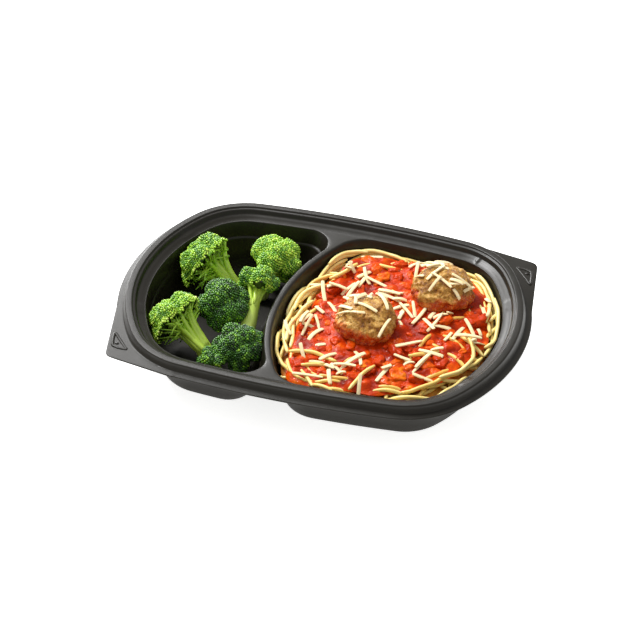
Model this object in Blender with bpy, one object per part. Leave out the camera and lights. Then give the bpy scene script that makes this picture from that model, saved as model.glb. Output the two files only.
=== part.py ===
"""Two-compartment takeaway meal: a black thermoformed tray with broccoli florets
on the left, and spaghetti under a chunky tomato sauce with two meatballs and
shredded cheese on the right.

Sizes are in millimetres and turned into metres where a mesh is made. +Z is up,
+X runs along the tray, and the origin is under its middle, where it rests."""

import bpy
import bmesh
import numpy as np
from mathutils import Vector

MM = 0.001
GAP = 0.35                      # clearance between neighbouring pieces
GOLDEN_ANGLE = np.pi * (3 - np.sqrt(5))

# Tray outline at the top of the bead: three tangent arcs in each quarter
HALF_LENGTH = 112.0
HALF_WIDTH = 80.4
SIDE_RADIUS = 632.0
END_RADIUS = 102.6
CORNER_RADIUS = 45.2

# Heights
TRAY_HEIGHT = 36.0
DECK_DEPTH = 5.0                # from the bead's top to the deck and the divider's top
SHEET = 0.9                     # thickness of the plastic
OPEN_TOP = TRAY_HEIGHT + 40.0   # a height above everything in the tray

# Flange and its two pointed corner tabs, at (+X, +Y) and (-X, -Y)
FLANGE_REACH = 4.9
TAB_POINT = (104.0, 75.4)       # where the tab's two edges would meet
TAB_EDGE_END = (-0.185, 0.983)
TAB_EDGE_SIDE = (-0.986, 0.169)
TAB_ROUNDING = 1.7
TAB_START = np.radians(8.0)

# Rim section, from the flange's edge over the bead and down to the deck:
# distance outside the outline, height above the bead's top
RIM_SECTION = [
    (FLANGE_REACH, -6.2),
    (FLANGE_REACH, -5.3),
    (1.3, -4.6),
    (0.2, -0.5),
    (-0.4, 0.0),
    (-3.8, 0.0),
    (-4.3, -0.8),
    (-5.6, -1.0),
    (-6.6, -3.2),
    (-8.2, -3.7),
    (-10.8, -DECK_DEPTH),
]
UNDERSIDE_INSET = 13.0          # from the outline to the middle part of the deck's underside
BEAD_HOLLOW = [(0.1, -8.0), (-0.7, -0.9), (-3.5, -0.9), (-5.8, -8.0)]

# Compartments
EDGE_INSET = 11.5               # from the outline to a compartment's edge at the deck
DIVIDER_CENTRE = (93.1, -2.0)   # the divider's top follows an arc round this point
DIVIDER_RADIUS = 120.0
DIVIDER_HALF_WIDTH = 2.0
LEFT_MIDDLE = np.array([-62.0, 0.0])
RIGHT_MIDDLE = np.array([40.0, 0.0])
LEFT_CORNER = 12.0
RIGHT_CORNER = 20.0
LEFT_STEPS = 38
RIGHT_STEPS = 42
TURN_WEIGHT = 28.0              # mm of edge that one radian of bend counts for

# Compartment wall: how far inside its edge, depth under the deck
WALL_SECTION = [(0.0, 0.0), (1.6, 9.4), (2.5, 10.2), (5.6, 23.5), (7.6, 28.0), (11.2, 30.1)]

# Spaghetti heap: its bare top is a low dome that leans up towards +X
HEAP_EDGE_HEIGHT = 25.0
HEAP_RISE = 4.5
HEAP_LEAN = 0.03
HEAP_EDGE_INSET = 4.5
HEAP_SIDE_DROP = 6.0            # from the heap's upper edge to the top of its steep side
HEAP_RINGS = (1.0, 0.85, 0.65, 0.4, 0.15)
HEAP_WAVE = 0.5
HEAP_STEPS = 36
STRAND_RADIUS = 1.15
STRAND_SIDES = 5
STRAND_COUNT = 19
STRAND_POINTS = 7
STRAND_WALL_INSET = 2.2         # from the compartment's edge to the outermost strand
STRAND_LIFTS = (0.4, 1.7, 3.0)  # heights over the heap that the strands take in turn
STRAND_END_DROP = 2.0

# Sauce: its thickness, and the part of the heap's reach that it covers
SAUCE_THICKNESS = 2.6
SAUCE_REACH = 0.85
SAUCE_LUMPS = 0.6
EDGE_MARGIN = 7.5               # how far pieces on the sauce stay from its edge
SAUCE_SECTION = [(0.15, 0.0), (0.45, 0.0), (0.75, 0.0), (0.97, 0.0), (1.0, 0.7),
                 (0.92, 1.9), (0.74, SAUCE_THICKNESS), (0.5, SAUCE_THICKNESS), (0.2, SAUCE_THICKNESS)]

# Pieces on the sauce: how many, how far apart, and how far from the meatballs
CHUNK_COUNT, CHUNK_SPREAD, CHUNK_CLEAR = 11, 13.0, 5.0
CHUNK_SIZES = (4.0, 6.5)
CHUNK_SHAPE = np.array([1.0, 0.75, 0.45])
SHRED_COUNT, SHRED_SPREAD, SHRED_CLEAR = 15, 9.5, 8.0
SHRED_LENGTHS = (9.0, 16.0)
SHRED_RADIUS = 1.15

# Meatballs: middle of each, and its half sizes along X, Y and Z
MEATBALLS = {
    "meatball_front": ((27.5, -8.5, 33.5), (17.6, 17.2, 15.2)),
    "meatball_back": ((59.5, 31.0, 33.0), (17.2, 16.6, 15.0)),
}

MEATBALL_DETAIL = 2
MEATBALL_ROUGHNESS = 0.035
MEATBALL_SHREDS = 5
SHRED_BEND = 0.42               # radians of the meatball on each side of a shred's middle

# Crowns, as shares of the crown's radius: the core and how far it sits towards the top,
# the lumps and how far their outsides reach; and how far round the lumps go
CORE_SIZE, CORE_RISE = 0.70, 0.12
LUMP_SIZES = (0.39, 0.48)
LUMP_REACH = 1.06
LUMP_COVER = 1.08
BRANCH_COUNT = 4
BRANCH_RADII = np.array([2.3, 1.9, 1.6])

# Broccoli florets: middle and radius of the crown, how many lumps it has, the point
# where its branches part, where the stalk ends, and the stalk's two radii
FLORETS = {
    "broccoli_back_left": (
        (-75.3, 28.8, 22.5), 17.8, 10, (-60.7, 25.0, 15.0), (-53.0, 30.0, 5.0), 4.6, 4.0),
    "broccoli_back_right": (
        (-42.8, 42.4, 21.5), 15.8, 9, (-46.6, 34.8, 12.0), (-48.0, 33.0, 2.5), 4.6, 4.0),
    "broccoli_middle": ((-58.1, -3.3, 22.5), 14.8, 9, (-60.0, 5.0, 12.0), (-60.5, 6.0, 2.5), 4.8, 4.2),
    "broccoli_inner": ((-43.4, 12.1, 28.0), 11.6, 8, (-41.6, 1.5, 24.0), (-42.0, -17.0, 12.0), 3.7, 4.8),
    "broccoli_front_left": (
        (-75.1, -27.3, 23.0), 17.2, 10, (-58.3, -36.0, 15.0), (-54.0, -38.0, 3.0), 4.8, 4.2),
    "broccoli_front_right": (
        (-38.4, -36.7, 21.5), 13.8, 9, (-41.0, -29.0, 12.0), (-42.0, -27.0, 2.5), 4.6, 4.0),
    "broccoli_small": ((-50.0, -49.0, 19.5), 8.0, 5, (-47.0, -49.5, 13.0), (-46.0, -49.0, 2.5), 2.8, 2.4),
}


def tangent_circles():
    """Centre and radius of the end, corner and side arcs, and the two directions
    where one arc runs into the next."""
    end = np.array([HALF_LENGTH - END_RADIUS, 0.0])
    side = np.array([0.0, HALF_WIDTH - SIDE_RADIUS])
    corner = meeting_point(side, SIDE_RADIUS - CORNER_RADIUS, end, END_RADIUS - CORNER_RADIUS)
    to_corner = np.arctan2(*(corner - end)[::-1])
    to_side = np.arctan2(*(corner - side)[::-1])
    return end, corner, side, to_corner, to_side


def meeting_point(first, first_radius, second, second_radius, sign=-1):
    """Where two circles cross, on the chosen side of the line between their centres."""
    across = second - first
    distance = np.hypot(*across)
    along = (first_radius**2 - second_radius**2 + distance**2) / (2 * distance)
    height = np.sqrt(max(first_radius**2 - along**2, 0.0))
    normal = np.array([-across[1], across[0]]) / distance
    return first + across * along / distance + sign * normal * height


def rim_directions():
    """Directions of the outline's normal for the tray's loops, closer on the tabs."""
    _, _, _, to_corner, to_side = tangent_circles()
    end_arc = np.linspace(0.0, to_corner, 4, endpoint=False)
    side_arc = np.linspace(to_side, np.pi / 2, 2, endpoint=False)
    tab_corner = np.radians([35.0, 38.5, 41.5, 44.5, 52.0, 62.0, 73.0])
    plain_corner = np.linspace(to_corner, to_side, 5, endpoint=False)
    tab_quarter = np.concatenate([end_arc, tab_corner, side_arc, [np.pi / 2]])
    plain_quarter = np.concatenate([end_arc, plain_corner, side_arc])
    half = np.concatenate([tab_quarter, np.pi - plain_quarter[:0:-1]])
    return np.concatenate([half, half + np.pi])


def outline(offset, directions, with_tabs=False):
    """Points of the tray's outline moved out by offset, one for each normal direction."""
    end, corner, side, to_corner, to_side = tangent_circles()
    normal = np.stack([np.abs(np.cos(directions)), np.abs(np.sin(directions))], 1)
    folded = np.arctan2(normal[:, 1], normal[:, 0])
    which = (folded >= to_corner).astype(int) + (folded >= to_side)
    centre = np.array([end, corner, side])[which]
    radius = np.array([END_RADIUS, CORNER_RADIUS, SIDE_RADIUS])[which]
    reach = np.full(len(directions), float(offset))
    if with_tabs:
        on_tab = (folded > TAB_START) & (folded < to_side)
        on_tab &= np.cos(directions) * np.sin(directions) > 0
        reach = np.where(on_tab, np.maximum(reach, tab_reach(centre, radius, normal)), reach)
    points = centre + normal * (radius + reach)[:, None]
    return points * np.sign(np.stack([np.cos(directions), np.sin(directions)], 1) + 1e-12)


def tab_reach(centre, radius, normal):
    """How far the tab's two edges lie outside the outline, rounded where they meet."""
    base = centre + normal * radius[:, None]
    reaches = []
    for edge in (TAB_EDGE_END, TAB_EDGE_SIDE):
        outward = np.array([edge[1], -edge[0]])
        outward *= np.sign(outward @ np.array(TAB_POINT))
        reaches.append((outward @ np.array(TAB_POINT) - base @ outward) / (normal @ outward))
    return -TAB_ROUNDING * np.logaddexp(-reaches[0] / TAB_ROUNDING, -reaches[1] / TAB_ROUNDING)


def ray_to_circle(start, angles, centre, radius, far):
    """Distance from start to a circle along each angle; where a ray misses, a large one."""
    heading = np.stack([np.cos(angles), np.sin(angles)], 1)
    offset = start - centre
    along = heading @ offset
    inside = along**2 - (offset @ offset - radius**2)
    root = np.sqrt(np.maximum(inside, 0.0))
    distance = -along + root if far else -along - root
    return np.where((inside > 0) & (distance > 0), distance, 1000.0)


def compartment_radius(is_left, inset, angles):
    """Distance from a compartment's middle to its wall along each angle: the tray's
    outline moved in, cut by the divider's arc, with a round corner at both ends."""
    middle = LEFT_MIDDLE if is_left else RIGHT_MIDDLE
    dense = outline(-EDGE_INSET - inset, np.linspace(0, 2 * np.pi, 720, endpoint=False) + 1e-4)
    offset = dense - middle
    outer = np.interp(angles, *sorted_by_angle(offset), period=2 * np.pi)
    divider = np.array(DIVIDER_CENTRE)
    sign = 1 if is_left else -1
    divider_radius = DIVIDER_RADIUS + sign * (DIVIDER_HALF_WIDTH + inset)
    reach = np.minimum(outer, ray_to_circle(middle, angles, divider, divider_radius, not is_left))
    corner_radius = LEFT_CORNER if is_left else RIGHT_CORNER
    side_radius = SIDE_RADIUS - EDGE_INSET - inset
    for end in (1, -1):
        side = np.array([0.0, end * (HALF_WIDTH - SIDE_RADIUS)])
        corner = meeting_point(side, side_radius - corner_radius, divider,
                               divider_radius + sign * corner_radius, end)
        on_side = side + (corner - side) * side_radius / (side_radius - corner_radius)
        on_divider = divider + (corner - divider) * divider_radius / (
            divider_radius + sign * corner_radius)
        span = np.sort([angle_from(on_side - middle, middle), angle_from(on_divider - middle, middle)])
        turned = wrap(angles, middle)
        between = (turned > span[0]) & (turned < span[1])
        reach = np.where(between, ray_to_circle(middle, angles, corner, corner_radius, True), reach)
    return reach


def sorted_by_angle(offset):
    """Angles and lengths of the offsets, in the order of their angles."""
    angle = np.arctan2(offset[:, 1], offset[:, 0]) % (2 * np.pi)
    order = np.argsort(angle)
    return angle[order], np.hypot(offset[:, 0], offset[:, 1])[order]


def wrap(angles, middle):
    """Angles from -180 to 180 degrees about the direction from a middle to the divider."""
    facing = 0.0 if middle[0] < 0 else np.pi
    return (angles - facing + np.pi) % (2 * np.pi) - np.pi


def angle_from(offset, middle):
    return wrap(np.arctan2(offset[1], offset[0]), middle)


def even_angles(is_left, count):
    """Angles that cut a compartment's edge into even steps, closer in its corners."""
    middle = LEFT_MIDDLE if is_left else RIGHT_MIDDLE
    dense = np.linspace(0, 2 * np.pi, 1441)
    reach = compartment_radius(is_left, 0.0, dense)
    points = middle + reach[:, None] * np.stack([np.cos(dense), np.sin(dense)], 1)
    step = np.diff(points, axis=0)
    heading = np.unwrap(np.arctan2(step[:, 1], step[:, 0]))
    turn = np.abs(np.diff(heading, append=heading[0] + 2 * np.pi))
    length = np.concatenate([[0], np.cumsum(np.hypot(*step.T) + TURN_WEIGHT * turn)])
    return np.interp(np.linspace(0, length[-1], count, endpoint=False), length, dense)


def compartment_loop(is_left, inset, angles, height, scale=1.0):
    """One level loop of a compartment, as points with their height."""
    middle = LEFT_MIDDLE if is_left else RIGHT_MIDDLE
    reach = scale * compartment_radius(is_left, inset, angles)
    flat = middle + reach[:, None] * np.stack([np.cos(angles), np.sin(angles)], 1)
    return np.column_stack([flat, np.broadcast_to(height, len(angles))])


def link(name, mesh):
    body = bpy.data.objects.new(name, mesh)
    bpy.context.scene.collection.objects.link(body)
    return body


def body_from(name, points, faces):
    """A mesh object from points in millimetres."""
    mesh = bpy.data.meshes.new(name)
    mesh.from_pydata([tuple(float(c) * MM for c in point) for point in points], [], faces)
    builder = bmesh.new()
    builder.from_mesh(mesh)
    bmesh.ops.recalc_face_normals(builder, faces=builder.faces)
    builder.to_mesh(mesh)
    builder.free()
    return link(name, mesh)


def loft(name, loops, is_ring=False):
    """A closed body through loops of equal count: capped with fans, or joined last to
    first as a ring."""
    count = len(loops[0])
    points = list(np.concatenate(loops))
    faces = []
    pairs = len(loops) if is_ring else len(loops) - 1
    for level in range(pairs):
        low, high = level * count, (level + 1) % len(loops) * count
        for i in range(count):
            j = (i + 1) % count
            faces.append((low + i, low + j, high + j, high + i))
    if not is_ring:
        for loop in (0, len(loops) - 1):
            middle = len(points)
            points.append(loops[loop].mean(axis=0))
            start = loop * count
            faces += [(start + i, start + (i + 1) % count, middle) for i in range(count)]
    return body_from(name, points, faces)


def ball(name, centre, half_sizes, detail, roughness, rng, grow=0.0):
    """An icosphere stretched to its half sizes, with uneven lumps."""
    builder = bmesh.new()
    bmesh.ops.create_icosphere(builder, subdivisions=detail, radius=1.0)
    unevenness = rng.uniform(-roughness, roughness, len(builder.verts))
    half_sizes = np.broadcast_to(half_sizes, 3)
    for vertex, lump in zip(builder.verts, unevenness):
        place = np.array(vertex.co) * (half_sizes + grow) * (1 + lump) + np.array(centre)
        vertex.co = Vector(place * MM)
    mesh = bpy.data.meshes.new(name)
    builder.to_mesh(mesh)
    builder.free()
    return link(name, mesh)


def tube(name, path, radii, sides, phase=0.3):
    """A closed tube of the given radii along a path of points in millimetres."""
    path = np.asarray(path, float)
    radii = np.broadcast_to(radii, len(path))
    tangent = np.gradient(path, axis=0)
    tangent /= np.linalg.norm(tangent, axis=1)[:, None]
    helper = np.array([0.0, 0.0, 1.0]) if abs(tangent[:, 2]).max() < 0.9 else np.array([1.0, 0.2, 0.0])
    across = np.cross(tangent, helper)
    across /= np.linalg.norm(across, axis=1)[:, None]
    up = np.cross(across, tangent)
    turn = phase + np.linspace(0, 2 * np.pi, sides, endpoint=False)
    loops = [place + radius * (np.cos(turn)[:, None] * a + np.sin(turn)[:, None] * u)
             for place, radius, a, u in zip(path, radii, across, up)]
    return loft(name, loops)


def boolean(body, others, operation):
    """Apply one Boolean of the other bodies to a body, and remove them."""
    group = bpy.data.collections.new("operands")
    for other in others:
        group.objects.link(other)
    modifier = body.modifiers.new("combine", "BOOLEAN")
    modifier.operation = operation
    modifier.operand_type = "COLLECTION"
    modifier.collection = group
    modifier.solver = "MANIFOLD"
    bpy.context.view_layer.update()
    evaluated = body.evaluated_get(bpy.context.evaluated_depsgraph_get())
    mesh = bpy.data.meshes.new_from_object(evaluated)
    body.modifiers.clear()
    body.data = mesh
    for other in others:
        bpy.data.objects.remove(other)
    bpy.data.collections.remove(group)
    return body


def tidy(body):
    """Turn the body into triangles and keep only its largest closed shell."""
    builder = bmesh.new()
    builder.from_mesh(body.data)
    bmesh.ops.dissolve_degenerate(builder, edges=builder.edges, dist=0.000001)
    bmesh.ops.triangulate(builder, faces=builder.faces)
    shells = []
    unseen = set(builder.verts)
    while unseen:
        stack = [unseen.pop()]
        shell = set(stack)
        while stack:
            for edge in stack.pop().link_edges:
                for vertex in edge.verts:
                    if vertex in unseen:
                        unseen.remove(vertex)
                        shell.add(vertex)
                        stack.append(vertex)
        shells.append(shell)
    shells.sort(key=shell_size)
    scraps = [vertex for shell in shells[:-1] for vertex in shell]
    bmesh.ops.delete(builder, geom=scraps, context="VERTS")
    builder.to_mesh(body.data)
    builder.free()
    return body


def shell_size(shell):
    """Diagonal of a shell's box."""
    places = np.array([vertex.co for vertex in shell])
    return float(np.linalg.norm(places.max(axis=0) - places.min(axis=0)))


def paint(body, name, colour, roughness):
    """Give a body its own plain material."""
    material = bpy.data.materials.new(name)
    material.use_nodes = True
    shader = material.node_tree.nodes["Principled BSDF"]
    shader.inputs["Base Color"].default_value = (*colour, 1.0)
    shader.inputs["Roughness"].default_value = roughness
    shader.inputs["Metallic"].default_value = 0.0
    body.data.materials.clear()
    body.data.materials.append(material)


def rim_loops(section, directions):
    """Loops of the rim, with the flange's outer loops following the tabs."""
    return [
        np.column_stack([outline(offset, directions, offset == FLANGE_REACH),
                         np.full(len(directions), TRAY_HEIGHT + height)])
        for offset, height in section
    ]


def make_tray():
    directions = rim_directions()
    underside = TRAY_HEIGHT - DECK_DEPTH - SHEET
    under = [np.column_stack([outline(-UNDERSIDE_INSET, directions), np.full(len(directions), underside)])]
    tray = loft("tray", under + rim_loops(RIM_SECTION, directions))
    shells, hollows = [], []
    for is_left, count in ((True, LEFT_STEPS), (False, RIGHT_STEPS)):
        angles = even_angles(is_left, count)
        shells.append(loft("shell", [
            compartment_loop(is_left, inset - SHEET, angles, TRAY_HEIGHT - DECK_DEPTH - depth - SHEET)
            for inset, depth in WALL_SECTION]))
        hollows.append(loft("hollow", hollow_loops(is_left, 0.0, angles, TRAY_HEIGHT)))
    boolean(tray, shells, "UNION")
    boolean(tray, hollows, "DIFFERENCE")
    boolean(tray, [loft("bead_hollow", rim_loops(BEAD_HOLLOW, directions), True)], "DIFFERENCE")
    paint(tidy(tray), "black_plastic", (0.016, 0.015, 0.013), 0.32)


def hollow_loops(is_left, clearance, angles, top):
    """Loops of a compartment's inner space, kept clear of the wall, up to a height."""
    loops = [compartment_loop(is_left, clearance, angles, top)]
    loops += [compartment_loop(is_left, inset + clearance, angles,
                               TRAY_HEIGHT - DECK_DEPTH - depth + clearance)
              for inset, depth in WALL_SECTION[1:]]
    return loops


def floret_pieces(name, seed, grow=0.0):
    """The lumps of one crown, its branches and its stalk, as separate closed bodies."""
    centre, radius, lumps, apex, stalk_end, thick, thin = FLORETS[name]
    rng = np.random.default_rng(seed)
    centre, apex, stalk_end = np.array(centre), np.array(apex), np.array(stalk_end)
    axis = (centre - apex) / np.linalg.norm(centre - apex)
    aside = np.cross(axis, [0.31, 0.57, 0.76])
    aside /= np.linalg.norm(aside)
    around = np.cross(axis, aside)
    pieces = [ball("core", centre + CORE_RISE * radius * axis, CORE_SIZE * radius, 1, 0.03, rng, grow)]
    for lump in range(lumps):
        rise = 1 - LUMP_COVER * (lump + 0.5) / lumps
        spin = GOLDEN_ANGLE * lump + rng.uniform(-0.25, 0.25)
        flat = np.sqrt(1 - rise * rise)
        heading = rise * axis + flat * (np.cos(spin) * aside + np.sin(spin) * around)
        size = radius * rng.uniform(*LUMP_SIZES)
        middle = centre + heading * (LUMP_REACH * radius - size)
        pieces.append(ball("lump", middle, size, 1, 0.05, rng, grow))
        if lump >= lumps - BRANCH_COUNT:
            branch = np.linspace(apex, middle - 0.3 * size * heading, 3)
            pieces.append(tube("branch", branch, BRANCH_RADII + grow, 5))
    stalk = np.linspace(apex + 2.0 * axis, stalk_end, 4)
    pieces.append(tube("stalk", stalk, np.linspace(thick, thin, 4) + grow, 6))
    return pieces


def make_broccoli():
    """Florets from the front to the back; each is trimmed where it would touch one that
    was made before it, and where it would touch the tray."""
    order = ["broccoli_small", "broccoli_front_right", "broccoli_front_left",
             "broccoli_inner", "broccoli_middle", "broccoli_back_left", "broccoli_back_right"]
    angles = even_angles(True, LEFT_STEPS)
    for place, name in enumerate(order):
        pieces = floret_pieces(name, place)
        floret = boolean(pieces[0], pieces[1:], "UNION")
        floret.name = name
        for earlier in range(place):
            grown = floret_pieces(order[earlier], earlier, GAP)
            boolean(floret, [boolean(grown[0], grown[1:], "UNION")], "DIFFERENCE")
        inside = loft("inside", hollow_loops(True, GAP, angles, OPEN_TOP))
        boolean(floret, [inside], "INTERSECT")
        paint(tidy(floret), name + "_green", (0.10, 0.24, 0.03), 0.55)


def heap_height(x, y):
    """Top of the bare spaghetti heap: a low dome with two slow waves."""
    angle = np.arctan2(y - RIGHT_MIDDLE[1], x - RIGHT_MIDDLE[0])
    reach = compartment_radius(False, 0.0, np.atleast_1d(angle) % (2 * np.pi))
    part = np.hypot(x - RIGHT_MIDDLE[0], y - RIGHT_MIDDLE[1]) / reach
    dome = HEAP_EDGE_HEIGHT + HEAP_RISE * (1 - part**2) + HEAP_LEAN * (x - RIGHT_MIDDLE[0])
    return dome + HEAP_WAVE * np.sin(x / 17.0) * np.cos(y / 14.0)


def meatball_dents():
    """The meatballs without their shreds, grown by the clearance, as cutters."""
    return [ball("dent", *MEATBALLS[name], MEATBALL_DETAIL, MEATBALL_ROUGHNESS,
                 np.random.default_rng(40 + number), GAP)
            for number, name in enumerate(MEATBALLS)]


def make_heap():
    """The spaghetti: a core that fills the right compartment, with strands over its rim."""
    angles = even_angles(False, HEAP_STEPS)
    loops = [compartment_loop(False, inset + 2 * GAP, angles, TRAY_HEIGHT - DECK_DEPTH - depth + 2 * GAP)
             for inset, depth in reversed(WALL_SECTION[3:])]
    loops.append(compartment_loop(False, HEAP_EDGE_INSET - 0.5, angles,
                                  HEAP_EDGE_HEIGHT - HEAP_SIDE_DROP))
    for part in HEAP_RINGS:
        flat = compartment_loop(False, HEAP_EDGE_INSET, angles, 0.0, part)
        flat[:, 2] = heap_height(flat[:, 0], flat[:, 1])
        loops.append(flat)
    heap = loft("spaghetti", loops)
    boolean(heap, strands(), "UNION")
    boolean(heap, meatball_dents(), "DIFFERENCE")
    inside = loft("inside", hollow_loops(False, GAP, even_angles(False, RIGHT_STEPS), OPEN_TOP))
    boolean(heap, [inside], "INTERSECT")
    paint(tidy(heap), "pasta", (0.62, 0.42, 0.12), 0.45)


def strands():
    """Single strands that wander along the band between the tray's wall and the sauce."""
    rng = np.random.default_rng(11)
    made = []
    for number in range(STRAND_COUNT):
        start = 2 * np.pi * number / STRAND_COUNT + rng.uniform(-0.1, 0.1)
        turn = start + np.linspace(0, rng.uniform(0.5, 0.8), STRAND_POINTS)
        outer = compartment_radius(False, STRAND_WALL_INSET, turn % (2 * np.pi))
        inner = sauce_edge(turn) + STRAND_RADIUS + 0.8
        phase = rng.uniform(0, 2 * np.pi)
        wander = 0.5 + 0.5 * np.sin(phase + np.linspace(0, rng.uniform(1.5, 4.0), STRAND_POINTS))
        reach = inner + (outer - inner) * wander
        flat = RIGHT_MIDDLE + reach[:, None] * np.stack([np.cos(turn), np.sin(turn)], 1)
        height = heap_height(flat[:, 0], flat[:, 1]) + STRAND_LIFTS[number % 3]
        height[[0, -1]] -= STRAND_END_DROP
        made.append(tube("strand", np.column_stack([flat, height]), STRAND_RADIUS, STRAND_SIDES))
    return made


def sauce_edge(angles):
    """Distance from the middle to the sauce's edge along each angle: it spreads wide at
    the front left and at the back, and leaves the spaghetti bare at the back left."""
    part = SAUCE_REACH + 0.05 * np.cos(angles + 2.3) + 0.03 * np.cos(2 * angles - 2.6)
    part += 0.025 * np.sin(5 * angles + 0.6) + 0.02 * np.sin(9 * angles + 2.0)
    return compartment_radius(False, HEAP_EDGE_INSET, angles % (2 * np.pi)) * part


def make_sauce():
    """Chunky sauce over the middle of the heap, cut round the meatballs, with shreds."""
    angles = even_angles(False, HEAP_STEPS)
    edge = sauce_edge(angles)
    around = np.stack([np.cos(angles), np.sin(angles)], 1)
    loops = []
    for part, thickness in SAUCE_SECTION:
        flat = RIGHT_MIDDLE + (edge * part)[:, None] * around
        lumps = SAUCE_LUMPS * np.sin(flat[:, 0] / 3.9) * np.sin(flat[:, 1] / 4.3) * (thickness > 1)
        height = heap_height(flat[:, 0], flat[:, 1]) + 1.5 * GAP + thickness + lumps
        loops.append(np.column_stack([flat, height]))
    sauce = loft("marinara", loops)
    boolean(sauce, chunks() + shreds(), "UNION")
    boolean(sauce, meatball_dents(), "DIFFERENCE")
    paint(tidy(sauce), "tomato", (0.42, 0.03, 0.012), 0.25)


def scatter(count, seed, spread, clear):
    """Even places over the sauce, away from the meatballs and from each other."""
    rng = np.random.default_rng(seed)
    places = []
    for _ in range(count * 60):
        angle = rng.uniform(0, 2 * np.pi)
        reach = (sauce_edge(np.array([angle]))[0] - EDGE_MARGIN) * np.sqrt(rng.uniform(0.0, 1.0))
        place = RIGHT_MIDDLE + reach * np.array([np.cos(angle), np.sin(angle)])
        far = all(np.hypot(*(place - other)) > spread for other in places)
        off = all(np.hypot(*(place - np.array(ball_at[:2]))) > half[0] + clear
                  for ball_at, half in MEATBALLS.values())
        if far and off:
            places.append(place)
        if len(places) == count:
            break
    return places


def sauce_top(x, y):
    return heap_height(x, y)[0] + GAP + SAUCE_THICKNESS


def chunks():
    """Pieces of tomato that stand out of the sauce."""
    rng = np.random.default_rng(21)
    made = []
    for x, y in scatter(CHUNK_COUNT, 5, CHUNK_SPREAD, CHUNK_CLEAR):
        half_sizes = rng.uniform(*CHUNK_SIZES) * CHUNK_SHAPE
        made.append(ball("chunk", (x, y, sauce_top(x, y)), half_sizes, 1, 0.10, rng))
    return made


def shreds():
    """Straight shreds of cheese lying on the sauce."""
    rng = np.random.default_rng(31)
    made = []
    for x, y in scatter(SHRED_COUNT, 8, SHRED_SPREAD, SHRED_CLEAR):
        length, turn = rng.uniform(*SHRED_LENGTHS), rng.uniform(0, np.pi)
        reach = 0.5 * length * np.array([np.cos(turn), np.sin(turn)])
        ends = [np.array([x, y]) - reach, np.array([x, y]), np.array([x, y]) + reach]
        path = [(*end, sauce_top(*end) + 0.9) for end in ends]
        made.append(tube("shred", path, SHRED_RADIUS, 4, np.pi / 4))
    return made


def make_meatballs():
    """Each meatball is one uneven ball with a few shreds of cheese lying on it."""
    for seed, (name, (centre, half_sizes)) in enumerate(MEATBALLS.items()):
        rng = np.random.default_rng(40 + seed)
        meatball = ball(name, centre, half_sizes, MEATBALL_DETAIL, MEATBALL_ROUGHNESS, rng)
        boolean(meatball, draped_shreds(centre, half_sizes, rng), "UNION")
        paint(tidy(meatball), name + "_browned", (0.30, 0.16, 0.06), 0.6)


def draped_shreds(centre, half_sizes, rng):
    """Shreds that follow the top of a meatball."""
    made = []
    for number in range(MEATBALL_SHREDS):
        lean = rng.uniform(0.15, 0.75)
        spin = GOLDEN_ANGLE * number + rng.uniform(-0.3, 0.3)
        middle = np.array([np.sin(lean) * np.cos(spin), np.sin(lean) * np.sin(spin), np.cos(lean)])
        heading = np.cross(middle, rng.normal(size=3))
        heading /= np.linalg.norm(heading)
        bend = np.linspace(-SHRED_BEND, SHRED_BEND, 4)
        path = np.array([np.cos(b) * middle + np.sin(b) * heading for b in bend])
        path = np.array(centre) + path * (np.array(half_sizes) + 0.5)
        made.append(tube("shred", path, SHRED_RADIUS - 0.05, 4, np.pi / 4))
    return made


for leftover in list(bpy.data.objects):
    bpy.data.objects.remove(leftover)
make_tray()
make_broccoli()
make_heap()
make_sauce()
make_meatballs()
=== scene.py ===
import bmesh
import bpy
import numpy as np
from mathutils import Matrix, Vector
from mathutils.geometry import tessellate_polygon


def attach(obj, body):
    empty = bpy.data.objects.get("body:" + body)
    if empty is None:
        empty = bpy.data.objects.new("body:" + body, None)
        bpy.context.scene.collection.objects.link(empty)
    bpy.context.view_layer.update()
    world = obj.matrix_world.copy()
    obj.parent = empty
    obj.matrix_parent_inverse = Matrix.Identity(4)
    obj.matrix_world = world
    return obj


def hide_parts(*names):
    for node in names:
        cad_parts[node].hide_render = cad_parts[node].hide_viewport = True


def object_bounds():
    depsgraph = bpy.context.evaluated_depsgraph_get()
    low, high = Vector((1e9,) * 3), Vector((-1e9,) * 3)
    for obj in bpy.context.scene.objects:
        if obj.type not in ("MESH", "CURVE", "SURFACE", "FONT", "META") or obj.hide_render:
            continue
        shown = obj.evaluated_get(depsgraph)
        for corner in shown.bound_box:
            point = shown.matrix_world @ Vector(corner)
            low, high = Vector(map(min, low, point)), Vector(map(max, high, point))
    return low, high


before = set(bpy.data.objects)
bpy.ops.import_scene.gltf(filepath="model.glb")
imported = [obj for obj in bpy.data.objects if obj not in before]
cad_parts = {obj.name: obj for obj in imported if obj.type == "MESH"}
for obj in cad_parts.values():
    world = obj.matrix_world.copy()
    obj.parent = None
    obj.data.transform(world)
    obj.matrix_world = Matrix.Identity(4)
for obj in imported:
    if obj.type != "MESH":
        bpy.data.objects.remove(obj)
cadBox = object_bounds()
mm = 0.001  # shapes below are worked out in millimetres, the scene is in metres
goldenAngle = np.pi * (3 - np.sqrt(5))
print("frame loaded,", len(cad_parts), "nodes")


# Materials

class Value:
    # one output of a node: plain arithmetic on it adds Math nodes
    def __init__(self, paint, socket):
        self.paint = paint
        self.socket = socket

    def maths(self, operation, first, second):
        return self.paint.node("ShaderNodeMath", {"operation": operation}, {0: first, 1: second})

    def __add__(self, other):
        return self.maths("ADD", self, other)

    def __sub__(self, other):
        return self.maths("SUBTRACT", self, other)

    def __rsub__(self, other):
        return self.maths("SUBTRACT", other, self)

    def __mul__(self, other):
        return self.maths("MULTIPLY", self, other)

    __radd__ = __add__
    __rmul__ = __mul__


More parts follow.
